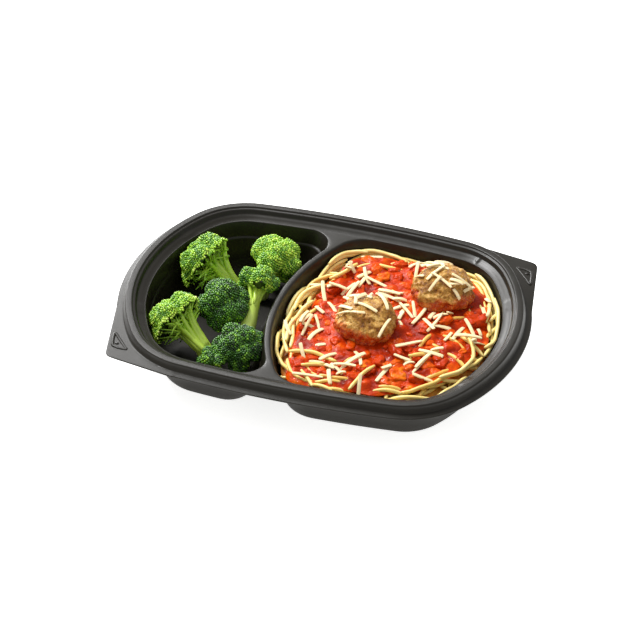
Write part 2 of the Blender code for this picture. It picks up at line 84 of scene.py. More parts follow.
class Paint:
    # one material with its Principled shader, and short ways to the nodes used below
    def __init__(self, name, constants):
        self.material = bpy.data.materials.new(name)
        self.material.use_nodes = True
        self.tree = self.material.node_tree
        self.shader = self.tree.nodes["Principled BSDF"]
        for socket, value in constants.items():
            self.shader.inputs[socket].default_value = value
        self.place = self.node("ShaderNodeTexCoord", output="Object")

    def node(self, kind, settings=None, sockets=None, output=0):
        made = self.tree.nodes.new(kind)
        for setting, value in (settings or {}).items():
            if setting == "stops":
                self.setStops(made.color_ramp.elements, value)
            else:
                setattr(made, setting, value)
        for socket, value in (sockets or {}).items():
            if isinstance(value, Value):
                self.tree.links.new(value.socket, made.inputs[socket])
            else:
                made.inputs[socket].default_value = value
        return Value(self, made.outputs[output])

    def setStops(self, elements, stops):
        while len(elements) < len(stops):
            elements.new(0.5)
        for element, (position, colour) in zip(elements, stops):
            element.position = position
            element.color = colour

    def noise(self, size, detail=2.0, roughness=0.5):
        return self.node("ShaderNodeTexNoise", {}, {
            "Vector": self.place, "Scale": 1 / (size * mm), "Detail": detail, "Roughness": roughness})

    def cells(self, size):
        return self.node("ShaderNodeTexVoronoi", {}, {
            "Vector": self.place, "Scale": 1 / (size * mm)}, "Distance")

    def attribute(self, name):
        return self.node("ShaderNodeAttribute", {"attribute_name": name}, {}, "Fac")

    def step(self, value, low, high):
        return self.node("ShaderNodeMapRange", {"interpolation_type": "SMOOTHSTEP"},
                         {0: value, 1: low, 2: high})

    def ramp(self, value, stops):
        return self.node("ShaderNodeValToRGB", {"stops": stops}, {0: value})

    def mix(self, first, second, share):
        return self.node("ShaderNodeMix", {"data_type": "RGBA"}, {0: share, 6: first, 7: second}, 2)

    def bump(self, height, depth):
        return self.node("ShaderNodeBump", {}, {"Height": height, "Distance": depth * mm, "Strength": 1.0})

    def feed(self, links):
        for socket, value in links.items():
            self.tree.links.new(value.socket, self.shader.inputs[socket])
        return self.material


def shade(red, green, blue):
    # a colour from 0 to 255 as screens show it, turned linear
    screen = np.array([red, green, blue]) / 255
    linear = np.where(screen < 0.04045, screen / 12.92, ((screen + 0.055) / 1.055) ** 2.4)
    return (*(float(part) for part in linear), 1.0)


# Noise, meshes and the shapes that repeat

def cellValue(cell, seed):
    # a fixed random number from -1 to 1 for each whole-number place
    mixed = cell @ np.array([73856093, 19349663, 83492791]) + seed * 1013904223
    mixed = (mixed ^ (mixed >> 13)) * 1274126177 & 0x7FFFFFFF
    mixed = (mixed ^ (mixed >> 15)) * 668265263 & 0x7FFFFFFF
    return (mixed ^ (mixed >> 14)) % 65536 / 32767.5 - 1


def smoothNoise(points, size, seed):
    # random values a size apart, joined by the curve 3t^2 - 2t^3 along each axis
    scaled = np.asarray(points, float) / size + 137.31
    cell = np.floor(scaled).astype(np.int64)
    part = scaled - cell
    part = part * part * (3 - 2 * part)
    total = np.zeros(len(scaled))
    for corner in np.ndindex(2, 2, 2):
        weight = np.where(np.array(corner) == 1, part, 1 - part).prod(axis=1)
        total += weight * cellValue(cell + corner, seed)
    return total


def layeredNoise(points, size, seed, layers=3):
    # each layer has half the size and half the height of the one before
    return sum(smoothNoise(points, size / 2**n, seed + n) / 2**n for n in range(layers))


def pits(points, size, seed):
    # distance to the nearest of random centres, one for each cell, as a share of the size
    scaled = np.asarray(points, float) / size + 137.31
    cell = np.floor(scaled).astype(np.int64)
    nearest = np.full(len(scaled), 9.0)
    for near in np.ndindex(3, 3, 3):
        other = cell + near - 1
        centre = other + 0.5 + 0.45 * np.stack([cellValue(other, seed + k) for k in range(3)], 1)
        nearest = np.minimum(nearest, np.linalg.norm(scaled - centre, axis=1))
    return nearest


def smoothRise(value, low, high):
    # 0 up to low and 1 from high on, joined by the curve 3t^2 - 2t^3
    part = np.clip((value - low) / (high - low), 0, 1)
    return part * part * (3 - 2 * part)


def turns(count):
    # even angles once round
    return np.linspace(0, 2 * np.pi, count, endpoint=False)


def headings(angles):
    # a unit vector in plan for each angle
    return np.stack([np.cos(angles), np.sin(angles)], -1)


def turnMatrix(angle, size=3):
    # turns points about the Z axis
    matrix = np.eye(size)
    matrix[:2, :2] = [[np.cos(angle), -np.sin(angle)], [np.sin(angle), np.cos(angle)]]
    return matrix


def parabola(start, corner, end, t):
    # from start to end, with both ends aimed at the corner
    return (1 - t) ** 2 * start + 2 * t * (1 - t) * corner + t**2 * end


def gridFaces(rows, columns):
    # quads of a grid whose columns join round
    start = np.arange(rows - 1)[:, None] * columns
    column = np.arange(columns)
    after = (column + 1) % columns
    corners = [start + column, start + after, start + columns + after, start + columns + column]
    return np.stack([corner.ravel() for corner in corners], 1)


def cappedGrid(points):
    # a grid of loops, closed at both ends by a fan to the loop's middle
    rows, columns = points.shape[:2]
    flat = np.concatenate([points.reshape(-1, 3), points[[0, -1]].mean(axis=1)])
    ring = np.arange(columns)
    after = (ring + 1) % columns
    first = np.stack([after, ring, np.full(columns, rows * columns)], 1)
    last = (rows - 1) * columns
    end = np.stack([last + ring, last + after, np.full(columns, rows * columns + 1)], 1)
    return flat, [gridFaces(rows, columns), np.concatenate([first, end])]


def joinShapes(shapes):
    # several (points, [quads, triangles], values) as one; values is a number for each point
    points, quads, triangles, values = [], [], [], []
    start = 0
    for shapePoints, (shapeQuads, shapeTriangles), shapeValues in shapes:
        points.append(shapePoints)
        quads.append(np.asarray(shapeQuads, int).reshape(-1, 4) + start)
        triangles.append(np.asarray(shapeTriangles, int).reshape(-1, 3) + start)
        values.append(np.broadcast_to(shapeValues, len(shapePoints)))
        start += len(shapePoints)
    return (np.concatenate(points), [np.concatenate(quads), np.concatenate(triangles)],
            np.concatenate(values))


def addMesh(name, points, faces, values=None):
    faces = [np.asarray(group) for group in faces if len(group)]
    corners = np.concatenate([group.ravel() for group in faces])
    sizes = np.concatenate([np.full(len(group), group.shape[1]) for group in faces])
    mesh = bpy.data.meshes.new(name)
    mesh.vertices.add(len(points))
    mesh.vertices.foreach_set("co", (np.asarray(points) * mm).astype(np.float32).ravel())
    mesh.loops.add(len(corners))
    mesh.loops.foreach_set("vertex_index", corners.astype(np.int32))
    mesh.polygons.add(len(sizes))
    mesh.polygons.foreach_set("loop_start", np.concatenate([[0], np.cumsum(sizes)[:-1]]).astype(np.int32))
    mesh.update(calc_edges=True)
    mesh.validate()
    mesh.polygons.foreach_set("use_smooth", np.ones(len(mesh.polygons), bool))
    for attribute, value in (values or {}).items():
        layer = mesh.attributes.new(attribute, "FLOAT", "POINT")
        layer.data.foreach_set("value", np.asarray(value).astype(np.float32))
    made = bpy.data.objects.new(name, mesh)
    bpy.context.scene.collection.objects.link(made)
    return made


def turnOutwards(made, upAt=None):
    # one way round for all faces; an open sheet is turned so that the face nearest upAt looks up
    builder = bmesh.new()
    builder.from_mesh(made.data)
    bmesh.ops.recalc_face_normals(builder, faces=builder.faces)
    if upAt is not None:
        target = Vector(np.array(upAt) * mm)
        nearest = min(builder.faces, key=lambda face: (face.calc_center_median() - target).length)
        if nearest.normal.z < 0:
            bmesh.ops.reverse_faces(builder, faces=builder.faces)
    builder.to_mesh(made.data)
    builder.free()


def addPiece(name, shape, material, nodes=(), attribute="tone"):
    # one finished piece: its mesh, its look and the solids that it stands in for
    points, faces, values = shape
    made = addMesh(name, points, faces, {attribute: values})
    turnOutwards(made)
    made.data.materials.append(material)
    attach(made, "root")
    if nodes:
        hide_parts(*nodes)
    print(name, len(made.data.polygons), "faces")
    return made


def tubeShape(path, radii, sides, value=0.5, flatten=1.0):
    # circles square to the path, with the given radii, closed at both ends
    path = np.asarray(path, float)
    radii = np.broadcast_to(radii, len(path))
    ahead = np.gradient(path, axis=0)
    ahead /= np.linalg.norm(ahead, axis=1)[:, None]
    helper = np.eye(3)[np.abs(ahead).mean(axis=0).argmin()]
    if flatten != 1.0:
        helper = np.array([0.0, 0.0, 1.0])
    across = np.cross(ahead, helper)
    across /= np.linalg.norm(across, axis=1)[:, None]
    up = np.cross(across, ahead)
    turn = turns(sides)
    square = np.cos(turn)[:, None] * across[:, None] + flatten * np.sin(turn)[:, None] * up[:, None]
    points, faces = cappedGrid(path[:, None] + radii[:, None, None] * square)
    if np.ndim(value):
        value = np.concatenate([np.repeat(value, sides), [value[0], value[-1]]])
    return points, faces, value


def roundEnds(radii, share=0.55):
    # the first and last circles shrink, so a tube ends in a dome
    radii = np.array(radii, float)
    radii[[0, -1]] *= share
    radii[[1, -2]] *= 0.5 + share / 2
    return radii


def sphereGrid(rows, columns):
    # unit sphere as loops from pole to pole, short of the poles by half a row
    rise = np.pi * (np.arange(rows) + 0.5) / rows
    turn = turns(columns)
    flat = np.sin(rise)[:, None]
    return np.stack([flat * np.cos(turn), flat * np.sin(turn),
                     np.broadcast_to(np.cos(rise)[:, None], (rows, columns))], 2)


def fibonacciDirections(count):
    # even directions over a sphere, each turned on by the golden angle
    rise = 1 - 2 * (np.arange(count) + 0.5) / count
    turn = goldenAngle * np.arange(count)
    flat = np.sqrt(1 - rise**2)
    return np.stack([flat * np.cos(turn), flat * np.sin(turn), rise], 1)


def makeIcosahedron():
    ratio = (1 + np.sqrt(5)) / 2
    corners = []
    for a in (-1, 1):
        for b in (-ratio, ratio):
            corners += [(0, a, b), (a, b, 0), (b, 0, a)]
    corners = np.array(corners) / np.hypot(1, ratio)
    edge = 2 / np.hypot(1, ratio)
    faces = [(i, j, k) for i in range(12) for j in range(i) for k in range(j)
             if max(np.linalg.norm(corners[i] - corners[j]), np.linalg.norm(corners[j] - corners[k]),
                    np.linalg.norm(corners[k] - corners[i])) < edge * 1.1]
    return corners, np.array(faces)


icoPoints, icoFaces = makeIcosahedron()


def stampShapes(places, sizes, values):
    # a small ball at each place, as joined copies of an icosahedron
    points = places[:, None] + icoPoints[None] * np.asarray(sizes)[:, None, None]
    faces = icoFaces[None] + 12 * np.arange(len(places))[:, None, None]
    return points.reshape(-1, 3), [np.zeros((0, 4), int), faces.reshape(-1, 3)], np.repeat(values, 12)


# The tray's outline: three tangent arcs in each quarter, and what is moved in from it

traySet = dict(
    halfLength=112.0, halfWidth=80.4, sideRadius=632.0, endRadius=102.6, cornerRadius=45.2,
    height=36.0, deckDepth=5.0, sheet=0.9, edgeInset=11.5,
    flangeReach=4.9, tabPoint=(104.0, 75.4), tabEdges=((-0.185, 0.983), (-0.986, 0.169)),
    tabRounding=1.7, tabStart=np.radians(8.0),
    dividerCentre=np.array([93.1, -2.0]), dividerRadius=120.0, dividerHalfWidth=2.0,
    lugDepth=0.8, flangeLoops=12, rimPoints=600, bayPoints=290, roundSteps=4, outlineSteps=2880)
leftBay = dict(middle=np.array([-62.0, 0.0]), side=1, corner=12.0)
rightBay = dict(middle=np.array([40.0, 0.0]), side=-1, corner=20.0)
# (how far in, depth) of a bay's wall; (how far out, height over the rim) of the flange and rim
wallSection = [(0.0, 0.0), (1.6, 9.4), (2.5, 10.2), (5.6, 23.5), (7.6, 28.0), (11.2, 30.1)]
flangeSection = [(0.0, -6.0), (0.0, -5.65), (-0.12, -5.4), (-0.45, -5.3)]
rimSection = [(1.3, -4.6), (0.2, -0.5), (-0.4, 0.0), (-3.8, 0.0), (-4.3, -0.8), (-5.6, -1.0),
              (-6.6, -3.2), (-8.2, -3.7), (-10.8, -5.0)]
deckHeight = traySet["height"] - traySet["deckDepth"]


def meetingPoint(first, firstRadius, second, secondRadius, sign=-1):
    # where two circles cross, on the chosen side of the line between their centres
    across = second - first
    distance = np.hypot(*across)
    along = (firstRadius**2 - secondRadius**2 + distance**2) / (2 * distance)
    height = np.sqrt(max(firstRadius**2 - along**2, 0.0))
    return first + (across * along + sign * height * np.array([-across[1], across[0]])) / distance


def tangentArcs():
    # centres of the end, corner and side arcs, and the directions where they meet
    s = traySet
    end = np.array([s["halfLength"] - s["endRadius"], 0.0])
    side = np.array([0.0, s["halfWidth"] - s["sideRadius"]])
    corner = meetingPoint(side, s["sideRadius"] - s["cornerRadius"], end, s["endRadius"] - s["cornerRadius"])
    return end, corner, side, np.arctan2(*(corner - end)[::-1]), np.arctan2(*(corner - side)[::-1])


def tabReach(centre, radius, normal):
    # how far the tab's two straight edges lie outside the outline, rounded where they meet
    point = np.array(traySet["tabPoint"])
    base = centre + normal * radius[:, None]
    reaches = []
    for edge in traySet["tabEdges"]:
        outward = np.array([edge[1], -edge[0]])
        outward *= np.sign(outward @ point)
        reaches.append((outward @ point - base @ outward) / (normal @ outward) / traySet["tabRounding"])
    return -traySet["tabRounding"] * np.logaddexp(-reaches[0], -reaches[1])


def trayOutline(offset, directions, withTabs=False):
    # the outline moved out by offset, one point for each direction of its normal
    end, corner, side, toCorner, toSide = tangentArcs()
    normal = np.abs(headings(directions))
    folded = np.arctan2(normal[:, 1], normal[:, 0])
    which = (folded >= toCorner).astype(int) + (folded >= toSide)
    centre = np.array([end, corner, side])[which]
    radius = np.array([traySet["endRadius"], traySet["cornerRadius"], traySet["sideRadius"]])[which]
    reach = np.broadcast_to(np.asarray(offset, float), len(directions))
    if withTabs:
        onTab = (folded > traySet["tabStart"]) & (folded < toSide)
        onTab &= np.cos(directions) * np.sin(directions) > 0
        reach = np.where(onTab, np.maximum(reach, tabReach(centre, radius, normal)), reach)
    points = centre + normal * (radius + reach)[:, None]
    return points * np.sign(headings(directions) + 1e-12)


def evenDirections(count):
    # directions that cut the outline into even steps, closer where it bends
    dense = np.linspace(0, 2 * np.pi, 7201)
    step = np.diff(trayOutline(traySet["flangeReach"], dense, True), axis=0)
    length = np.concatenate([[0], np.cumsum(np.hypot(*step.T) + 14 * np.diff(dense))])
    return np.interp(np.linspace(0, length[-1], count, endpoint=False), length, dense)


def rayToCircle(start, angles, centre, radius, far):
    # distance from start to a circle along each angle; a large one where the ray misses
    offset = start - centre
    along = headings(angles) @ offset
    inside = along**2 - (offset @ offset - radius**2)
    root = np.sqrt(np.maximum(inside, 0.0))
    distance = -along + root if far else -along - root
    return np.where((inside > 0) & (distance > 0), distance, 1000.0)


def turnedFrom(angles, bay):
    # angles from -180 to 180 degrees about the direction from a bay's middle to the divider
    facing = 0.0 if bay["side"] > 0 else np.pi
    return (angles - facing + np.pi) % (2 * np.pi) - np.pi


def bayReach(bay, inset, angles):
    # distance from a bay's middle to its wall: the tray's outline moved in, cut by the
    # divider's arc, with an arc tangent to both at each corner
    s = traySet
    middle, sign, corner = bay["middle"], bay["side"], bay["corner"]
    offset = trayOutline(-s["edgeInset"] - inset, turns(s["outlineSteps"]) + 1e-4) - middle
    angle = np.arctan2(offset[:, 1], offset[:, 0]) % (2 * np.pi)
    order = np.argsort(angle)
    outer = np.interp(angles, angle[order], np.hypot(*offset.T)[order], period=2 * np.pi)
    radius = s["dividerRadius"] + sign * (s["dividerHalfWidth"] + inset)
    reach = np.minimum(outer, rayToCircle(middle, angles, s["dividerCentre"], radius, sign < 0))
    sideRadius = s["sideRadius"] - s["edgeInset"] - inset
    for end in (1, -1):
        side = np.array([0.0, end * (s["halfWidth"] - s["sideRadius"])])
        centre = meetingPoint(side, sideRadius - corner, s["dividerCentre"], radius + sign * corner, end)
        touches = [side + (centre - side) * sideRadius / (sideRadius - corner),
                   s["dividerCentre"] + (centre - s["dividerCentre"]) * radius / (radius + sign * corner)]
        span = np.sort([turnedFrom(np.arctan2(*(touch - middle)[::-1]), bay) for touch in touches])
        turned = turnedFrom(angles, bay)
        reach = np.where((turned > span[0]) & (turned < span[1]),
                         rayToCircle(middle, angles, centre, corner, True), reach)
    return reach


def bayAngles(bay, count):
    # angles that cut a bay's edge into even steps, closer in its corners
    dense = np.linspace(0, 2 * np.pi, traySet["outlineSteps"] + 1)
    points = bayReach(bay, 0.0, dense)[:, None] * headings(dense)
    step = np.diff(points, axis=0)
    heading = np.unwrap(np.arctan2(step[:, 1], step[:, 0]))
    turn = np.abs(np.diff(heading, append=heading[0] + 2 * np.pi))
    length = np.concatenate([[0], np.cumsum(np.hypot(*step.T) + 12 * turn)])
    return np.interp(np.linspace(0, length[-1], count, endpoint=False), length, dense)


def wallInset(height):
    # how far inside its edge a bay's wall stands at each height
    inset, depth = np.array(wallSection).T
    return np.interp(deckHeight - np.asarray(height, float), depth, inset)


def roundedSection(corners, reaches, steps):
    # each inner corner becomes a short parabola between points a reach before and after it
    corners = np.array(corners, float)
    out = [corners[:1]]
    t = np.linspace(0, 1, steps + 1)[:, None]
    for i in range(1, len(corners) - 1):
        before, after = corners[i - 1] - corners[i], corners[i + 1] - corners[i]
        lengths = np.linalg.norm(before), np.linalg.norm(after)
        reach = min(reaches[i], 0.45 * min(lengths))
        start = corners[i] + before / lengths[0] * reach
        end = corners[i] + after / lengths[1] * reach
        out.append(parabola(start, corners[i], end, t))
    out.append(corners[-1:])
    return np.concatenate(out)


# Black plastic: near black and satin, with a faint ripple from forming

plastic = Paint("blackFormedPlastic", {"IOR": 1.5, "Specular IOR Level": 0.28})
ripple = plastic.noise(9.0, 2.0)
grain = plastic.noise(0.7, 3.0, 0.6)
smudge = plastic.noise(26.0, 3.0, 0.6)
lowDown = 1 - plastic.step(plastic.node("ShaderNodeSeparateXYZ", {}, {0: plastic.place}, "Z"), 0.004, 0.014)
blackPlastic = plastic.feed({
    "Base Color": plastic.mix(shade(22, 19, 13), shade(31, 28, 20), smudge),
    "Roughness": 0.24 + smudge * 0.14 + grain * 0.05 + lowDown * 0.30,  # duller at the floor
    "Normal": plastic.bump(ripple * 0.7 + grain * 0.06, 0.10)})


# Small lugs on the cove under the rim keep stacked trays apart: direction and half width in degrees
lugs = [(154.0, 3.5), (67.5, 2.5), (19.5, 3.5), (334.0, 3.5), (247.5, 2.5), (199.5, 3.5)]


def atLevel(flat, height):
    # points in plan set at a height, one for all or one each
    return np.column_stack([flat, np.broadcast_to(height, len(flat))])


def rimGrid(directions):
    # loops from the flange's edge over the bead and down to the deck
    s = traySet
    loops = []
    flat = trayOutline(s["flangeReach"], directions, True)
    towards = trayOutline(s["flangeReach"] - 1.0, directions) - trayOutline(s["flangeReach"], directions)
    for inward, height in flangeSection:
        loops.append(atLevel(flat - towards * inward, s["height"] + height))
    foot = atLevel(trayOutline(rimSection[0][0], directions), s["height"] + rimSection[0][1])
    for share in np.linspace(0, 1, s["flangeLoops"] + 1)[1:-1]:
        loops.append(loops[3] * (1 - share) + foot * share)
    reaches = [0, 0.5, 0.45, 0.5, 0.35, 0.5, 0.5, 0.7, 0]
    heading = np.degrees(directions) % 360
    push = sum(smoothRise(width - np.abs(heading - at), 0, 2.0) for at, width in lugs)
    for offset, height in roundedSection(rimSection, reaches, s["roundSteps"]):
        onCove = smoothRise(-offset, 6.2, 6.9) * (1 - smoothRise(-offset, 9.4, 10.4))
        flat = trayOutline(offset - s["lugDepth"] * push * onCove, directions)
        loops.append(atLevel(flat, s["height"] + height))
    return np.stack(loops)


def bayGrid(bay):
    # loops from the rounded edge down the wall to the floor, then in towards the middle
    angles = bayAngles(bay, traySet["bayPoints"])
    heading = headings(angles)
    edge, further = bayReach(bay, 0.0, angles), bayReach(bay, 1.0, angles)
    fromCentre = bay["middle"] + edge[:, None] * heading - traySet["dividerCentre"]
    fromArc = np.abs(np.linalg.norm(fromCentre, axis=1) - traySet["dividerRadius"])
    fromDivider = fromArc - traySet["dividerHalfWidth"]
    rounding = 0.42 + 0.95 * (1 - smoothRise(fromDivider, 0.5, 9.0))
    loops = []
    for turn in np.linspace(0, 1, 6)[:-1]:
        inset = rounding * (-(1 - turn) ** 2 + 0.17 * turn**2)
        flat = bay["middle"] + (edge + (further - edge) * inset)[:, None] * heading
        loops.append(atLevel(flat, deckHeight - rounding * turn**2))
    reaches = [0, 0.35, 0.5, 1.6, 1.6, 0]
    for inset, depth in roundedSection(wallSection, reaches, traySet["roundSteps"])[1:]:
        loops.append(atLevel(bay["middle"] + bayReach(bay, inset, angles)[:, None] * heading,
                             deckHeight - depth))
    inside = loops[-1][:, :2] - bay["middle"]
    for share in (0.93, 0.8, 0.6, 0.35, 0.08):
        loops.append(atLevel(bay["middle"] + inside * share, loops[-1][:, 2]))
    return np.stack(loops)


def makeTray():
    # one thin sheet: rim, flat deck and two bays, then given its thickness downwards
    grids = [rimGrid(evenDirections(traySet["rimPoints"])), bayGrid(leftBay), bayGrid(rightBay)]
    points, quads, triangles, borders = [], [], [], []
    start = 0
    for number, grid in enumerate(grids):
        rows, columns = grid.shape[:2]
        quads.append(gridFaces(rows, columns) + start)
        points.append(grid.reshape(-1, 3))
        border = start + (rows - 1) * columns if number == 0 else start
        borders.append(np.arange(border, border + columns))
        if number:
            ring = start + (rows - 1) * columns + np.arange(columns)
            points.append(grid[-1].mean(axis=0)[None])
            triangles.append(np.stack([ring, np.roll(ring, -1), np.full(columns, start + rows * columns)], 1))
        start += rows * columns + (number > 0)
    points = np.concatenate(points)
    deck = tessellate_polygon([[Vector(points[i]) for i in border] for border in borders])
    triangles.append(np.concatenate(borders)[np.array(deck)])
    made = addMesh("foodTray", points, [np.concatenate(quads), np.concatenate(triangles)])
    turnOutwards(made, upAt=(40, 0, 0.9))
    thickness = made.modifiers.new("sheet", "SOLIDIFY")
    thickness.thickness = traySet["sheet"] * mm
    thickness.offset = -1.0
    made.data.materials.append(blackPlastic)
    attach(made, "root")
    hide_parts("tray")
    print("foodTray", len(made.data.polygons), "faces")


tabSet = dict(path=[(-105.2, -54.5), (-104.0, -61.5), (-102.6, -66.2), (-98.8, -67.6), (-93.4, -67.9),
                    (-96.4, -64.7), (-99.8, -60.9), (-103.0, -57.0), (-105.2, -54.5)],
              width=0.95, rise=0.85, samples=57, depth=5.2, drop=(-100.7, -64.0), dropSize=(1.5, 1.0, 0.8))


def makeTabMarks():
    # a raised triangle round a small drop on each corner tab, half sunk in the flange
    path = np.array(tabSet["path"])
    share = np.linspace(0, len(path) - 1, tabSet["samples"])
    fine = np.stack([np.interp(share, np.arange(len(path)), path[:, k]) for k in (0, 1)], 1)
    kernel = np.array([1, 2, 3, 2, 1]) / 9
    fine[2:-2] = np.stack([np.convolve(fine[:, k], kernel, "valid") for k in (0, 1)], 1)
    level = traySet["height"] - tabSet["depth"]
    widths = roundEnds(np.full(len(fine), tabSet["width"]))
    shapes = []
    for sign in (1, -1):
        shapes.append(tubeShape(atLevel(sign * fine, level), widths, 12, 0.5, tabSet["rise"]))
        drop = np.array([*(sign * np.array(tabSet["drop"])), level])
        shapes.append((*cappedGrid(sphereGrid(10, 16) * np.array(tabSet["dropSize"]) + drop), 0.5))
    addPiece("tabMarks", joinShapes(shapes), blackPlastic)


makeTray()
makeTabMarks()


# Broccoli

# each one's crown middle, crown radius and number of lumps, the point where its branches
# part, where the stalk ends, and the stalk's two radii
florets = {
    "broccoli_back_left": ((-75.3, 28.8, 22.5), 17.8, 10, (-60.7, 25.0, 15.0), (-53.0, 30.0, 5.0), 4.6, 4.0),
    "broccoli_back_right": ((-42.8, 42.4, 21.5), 15.8, 9, (-46.6, 34.8, 12.0), (-48.0, 33.0, 2.5), 4.6, 4.0),
    "broccoli_middle": ((-58.1, -3.3, 22.5), 14.8, 9, (-60.0, 5.0, 12.0), (-60.5, 6.0, 2.5), 4.8, 4.2),
    "broccoli_inner": ((-43.4, 12.1, 28.0), 11.6, 8, (-41.6, 1.5, 24.0), (-42.0, -17.0, 12.0), 3.7, 4.8),
    "broccoli_front_left": (
        (-75.1, -27.3, 23.0), 17.2, 10, (-58.3, -36.0, 15.0), (-54.0, -38.0, 3.0), 4.8, 4.2),
    "broccoli_front_right": (
        (-38.4, -36.7, 21.5), 13.8, 9, (-41.0, -29.0, 12.0), (-42.0, -27.0, 2.5), 4.6, 4.0),
    "broccoli_small": ((-50.0, -49.0, 19.5), 8.0, 5, (-47.0, -49.5, 13.0), (-46.0, -49.0, 2.5), 2.8, 2.4),
}
# front to back, as they were trimmed, which also gives each one its seed
floretOrder = ["broccoli_small", "broccoli_front_right", "broccoli_front_left", "broccoli_inner",
               "broccoli_middle", "broccoli_back_left", "broccoli_back_right"]
# lump sizes and reach are shares of the crown's radius, branches are for a crown of stemScale;
# bare: how far over the crown's middle, in crown radii, the buds stop and the stems show;
# lift: how much lighter than usual a floret is
broccoliSet = dict(
    lumpSizes=(0.39, 0.48), lumpReach=1.06, lumpCover=1.08, ballDraws=42, baseSize=0.90,
    baseLumps=5.0, baseRelief=0.06, beadSize=(0.60, 0.92), beadSpacing=1.42, beadCover=-0.62,
    beadHeight=(-0.22, 0.32), clusterSize=4.6, clusterRelief=1.3, hem=(-1.6, 0.8), wallGap=0.5,
    branches=3, branchRadii=[1.85, 1.4, 1.05], stemScale=16, twigs=5, twigRadii=(0.7, 0.45),
    bare={"broccoli_back_left": 0.24, "broccoli_front_left": 0.14, "broccoli_inner": -0.30,
          "broccoli_small": -0.2},
    lift={"broccoli_back_right": 0.25, "broccoli_back_left": 0.17, "broccoli_front_left": 0.22,
          "broccoli_inner": 0.10, "broccoli_middle": -0.06, "broccoli_front_right": -0.07})

# tone runs from 0, dark buds in the shade of the crown, over bright buds, to 1, pale stalk
green = Paint("cookedBroccoli", {"Subsurface Weight": 0.06, "Subsurface Radius": (0.8, 1.2, 0.3),
                                 "Subsurface Scale": 0.0012, "Specular IOR Level": 0.8})
mottle = green.noise(2.6, 3.0, 0.6)
tone = green.attribute("tone") + (mottle - 0.5) * 0.16
streak = green.noise(0.9, 2.0)
cookedBroccoli = green.feed({
    "Base Color": green.ramp(tone, [
        (0.00, shade(18, 46, 4)), (0.20, shade(48, 104, 10)), (0.40, shade(98, 156, 22)),
        (0.60, shade(164, 210, 46)), (0.80, shade(198, 228, 78)), (1.00, shade(214, 230, 126))]),
    "Roughness": 0.27 + streak * 0.2,
    "Normal": green.bump(streak, 0.10)})


def floretLumps(name):
    # the same lumps as the solid: its draws are repeated in its order
    s = broccoliSet
    centre, radius, count, apex, _, _, _ = florets[name]
    rng = np.random.default_rng(floretOrder.index(name))
    centre, apex = np.array(centre), np.array(apex)
    axis = (centre - apex) / np.linalg.norm(centre - apex)
    aside = np.cross(axis, [0.31, 0.57, 0.76])
    aside /= np.linalg.norm(aside)
    around = np.cross(axis, aside)
    rng.uniform(size=s["ballDraws"])  # the solid's draws for the roughness of each ball
    lumps = []
    for lump in range(count):
        rise = 1 - s["lumpCover"] * (lump + 0.5) / count
        spin = goldenAngle * lump + rng.uniform(-0.25, 0.25)
        flat = np.sqrt(1 - rise * rise)
        heading = rise * axis + flat * (np.cos(spin) * aside + np.sin(spin) * around)
        size = radius * rng.uniform(*s["lumpSizes"])
        rng.uniform(size=s["ballDraws"])
        lumps.append((centre + heading * (s["lumpReach"] * radius - size), size, heading))
    return axis, lumps


def keepInBay(points, room):
    # points that would enter the left bay's wall or floor are moved back inside
    points = points.copy()
    points[:, 2] = np.maximum(points[:, 2], 1.4 + room)
    offset = points[:, :2] - leftBay["middle"]
    angle = np.arctan2(offset[:, 1], offset[:, 0])
    shallow, deep = bayReach(leftBay, 0.0, angle), bayReach(leftBay, 6.0, angle)
    limit = shallow + (deep - shallow) * wallInset(np.minimum(points[:, 2], deckHeight)) / 6.0 - room
    length = np.maximum(np.hypot(*offset.T), 1e-6)
    points[:, :2] = leftBay["middle"] + offset * np.minimum(1, limit / length)[:, None]
    return points


def insideBalls(points, balls, grow):
    inside = np.zeros(len(points), bool)
    for middle, size in balls:
        inside |= np.linalg.norm(points - middle, axis=1) < size + grow
    return inside


def crownShapes(name, axis, lumps, earlier):
    # each lump is a base painted the darkest green, as the shade deep under its buds, with small beads; a
    # second noise gathers the beads in clusters
    shapes = []
    s = broccoliSet
    centre, radius = np.array(florets[name][0]), florets[name][1]
    seed = 100 * (floretOrder.index(name) + 1)
    rng = np.random.default_rng(seed)
    lift = s["lift"].get(name, 0.0)
    floor = s["bare"].get(name, -0.7) * radius
    for number, (middle, size, heading) in enumerate(lumps):
        others = [(m, z) for k, (m, z, _) in enumerate(lumps) if k != number]
        base = sphereGrid(14, 22)
        points, faces = cappedGrid(middle + base * size * s["baseSize"])
        uneven = s["baseRelief"] * layeredNoise(points, s["baseLumps"], seed, 2)
        points = points + (points - middle) * uneven[:, None]
        below = np.maximum(floor - (points - centre) @ axis, 0)
        points = points + below[:, None] * axis  # no dark base under the bare side, where stems show
        # tone 0.02 paints the base as the shade between and under the buds
        shapes.append((keepInBay(points, s["wallGap"]), faces, 0.02))
        beads = fibonacciDirections(int(4 * np.pi * (size + 0.8) ** 2 / s["beadSpacing"] ** 2))
        beads = beads[beads @ heading > s["beadCover"]]
        places = middle + beads * size
        cluster = 1 - pits(places, s["clusterSize"], seed) * 1.35
        fine = rng.uniform(*s["beadHeight"], len(beads))
        places = places + beads * (s["clusterRelief"] * (cluster - 0.35) + fine)[:, None]
        keep = ~insideBalls(places, others, -0.7) & ~insideBalls(places, earlier, 0.2)
        height = (places - centre) @ axis - floor
        keep &= height > rng.uniform(*s["hem"], len(places))
        places, cluster, beads, height = places[keep], cluster[keep], beads[keep], height[keep]
        sizes = rng.uniform(*s["beadSize"], len(places))
        tips = rng.uniform(0, 1, len(places)) ** 2.2
        # beads sunk between the clusters get a lower tone, a painted shade in the gaps between them
        value = 0.10 + 0.18 * smoothRise(cluster, 0.0, 0.8) + 0.36 * tips + 0.16 * (height < 2.2) + lift
        shapes.append(stampShapes(keepInBay(places, s["wallGap"] + 0.5), sizes, value))
    return shapes


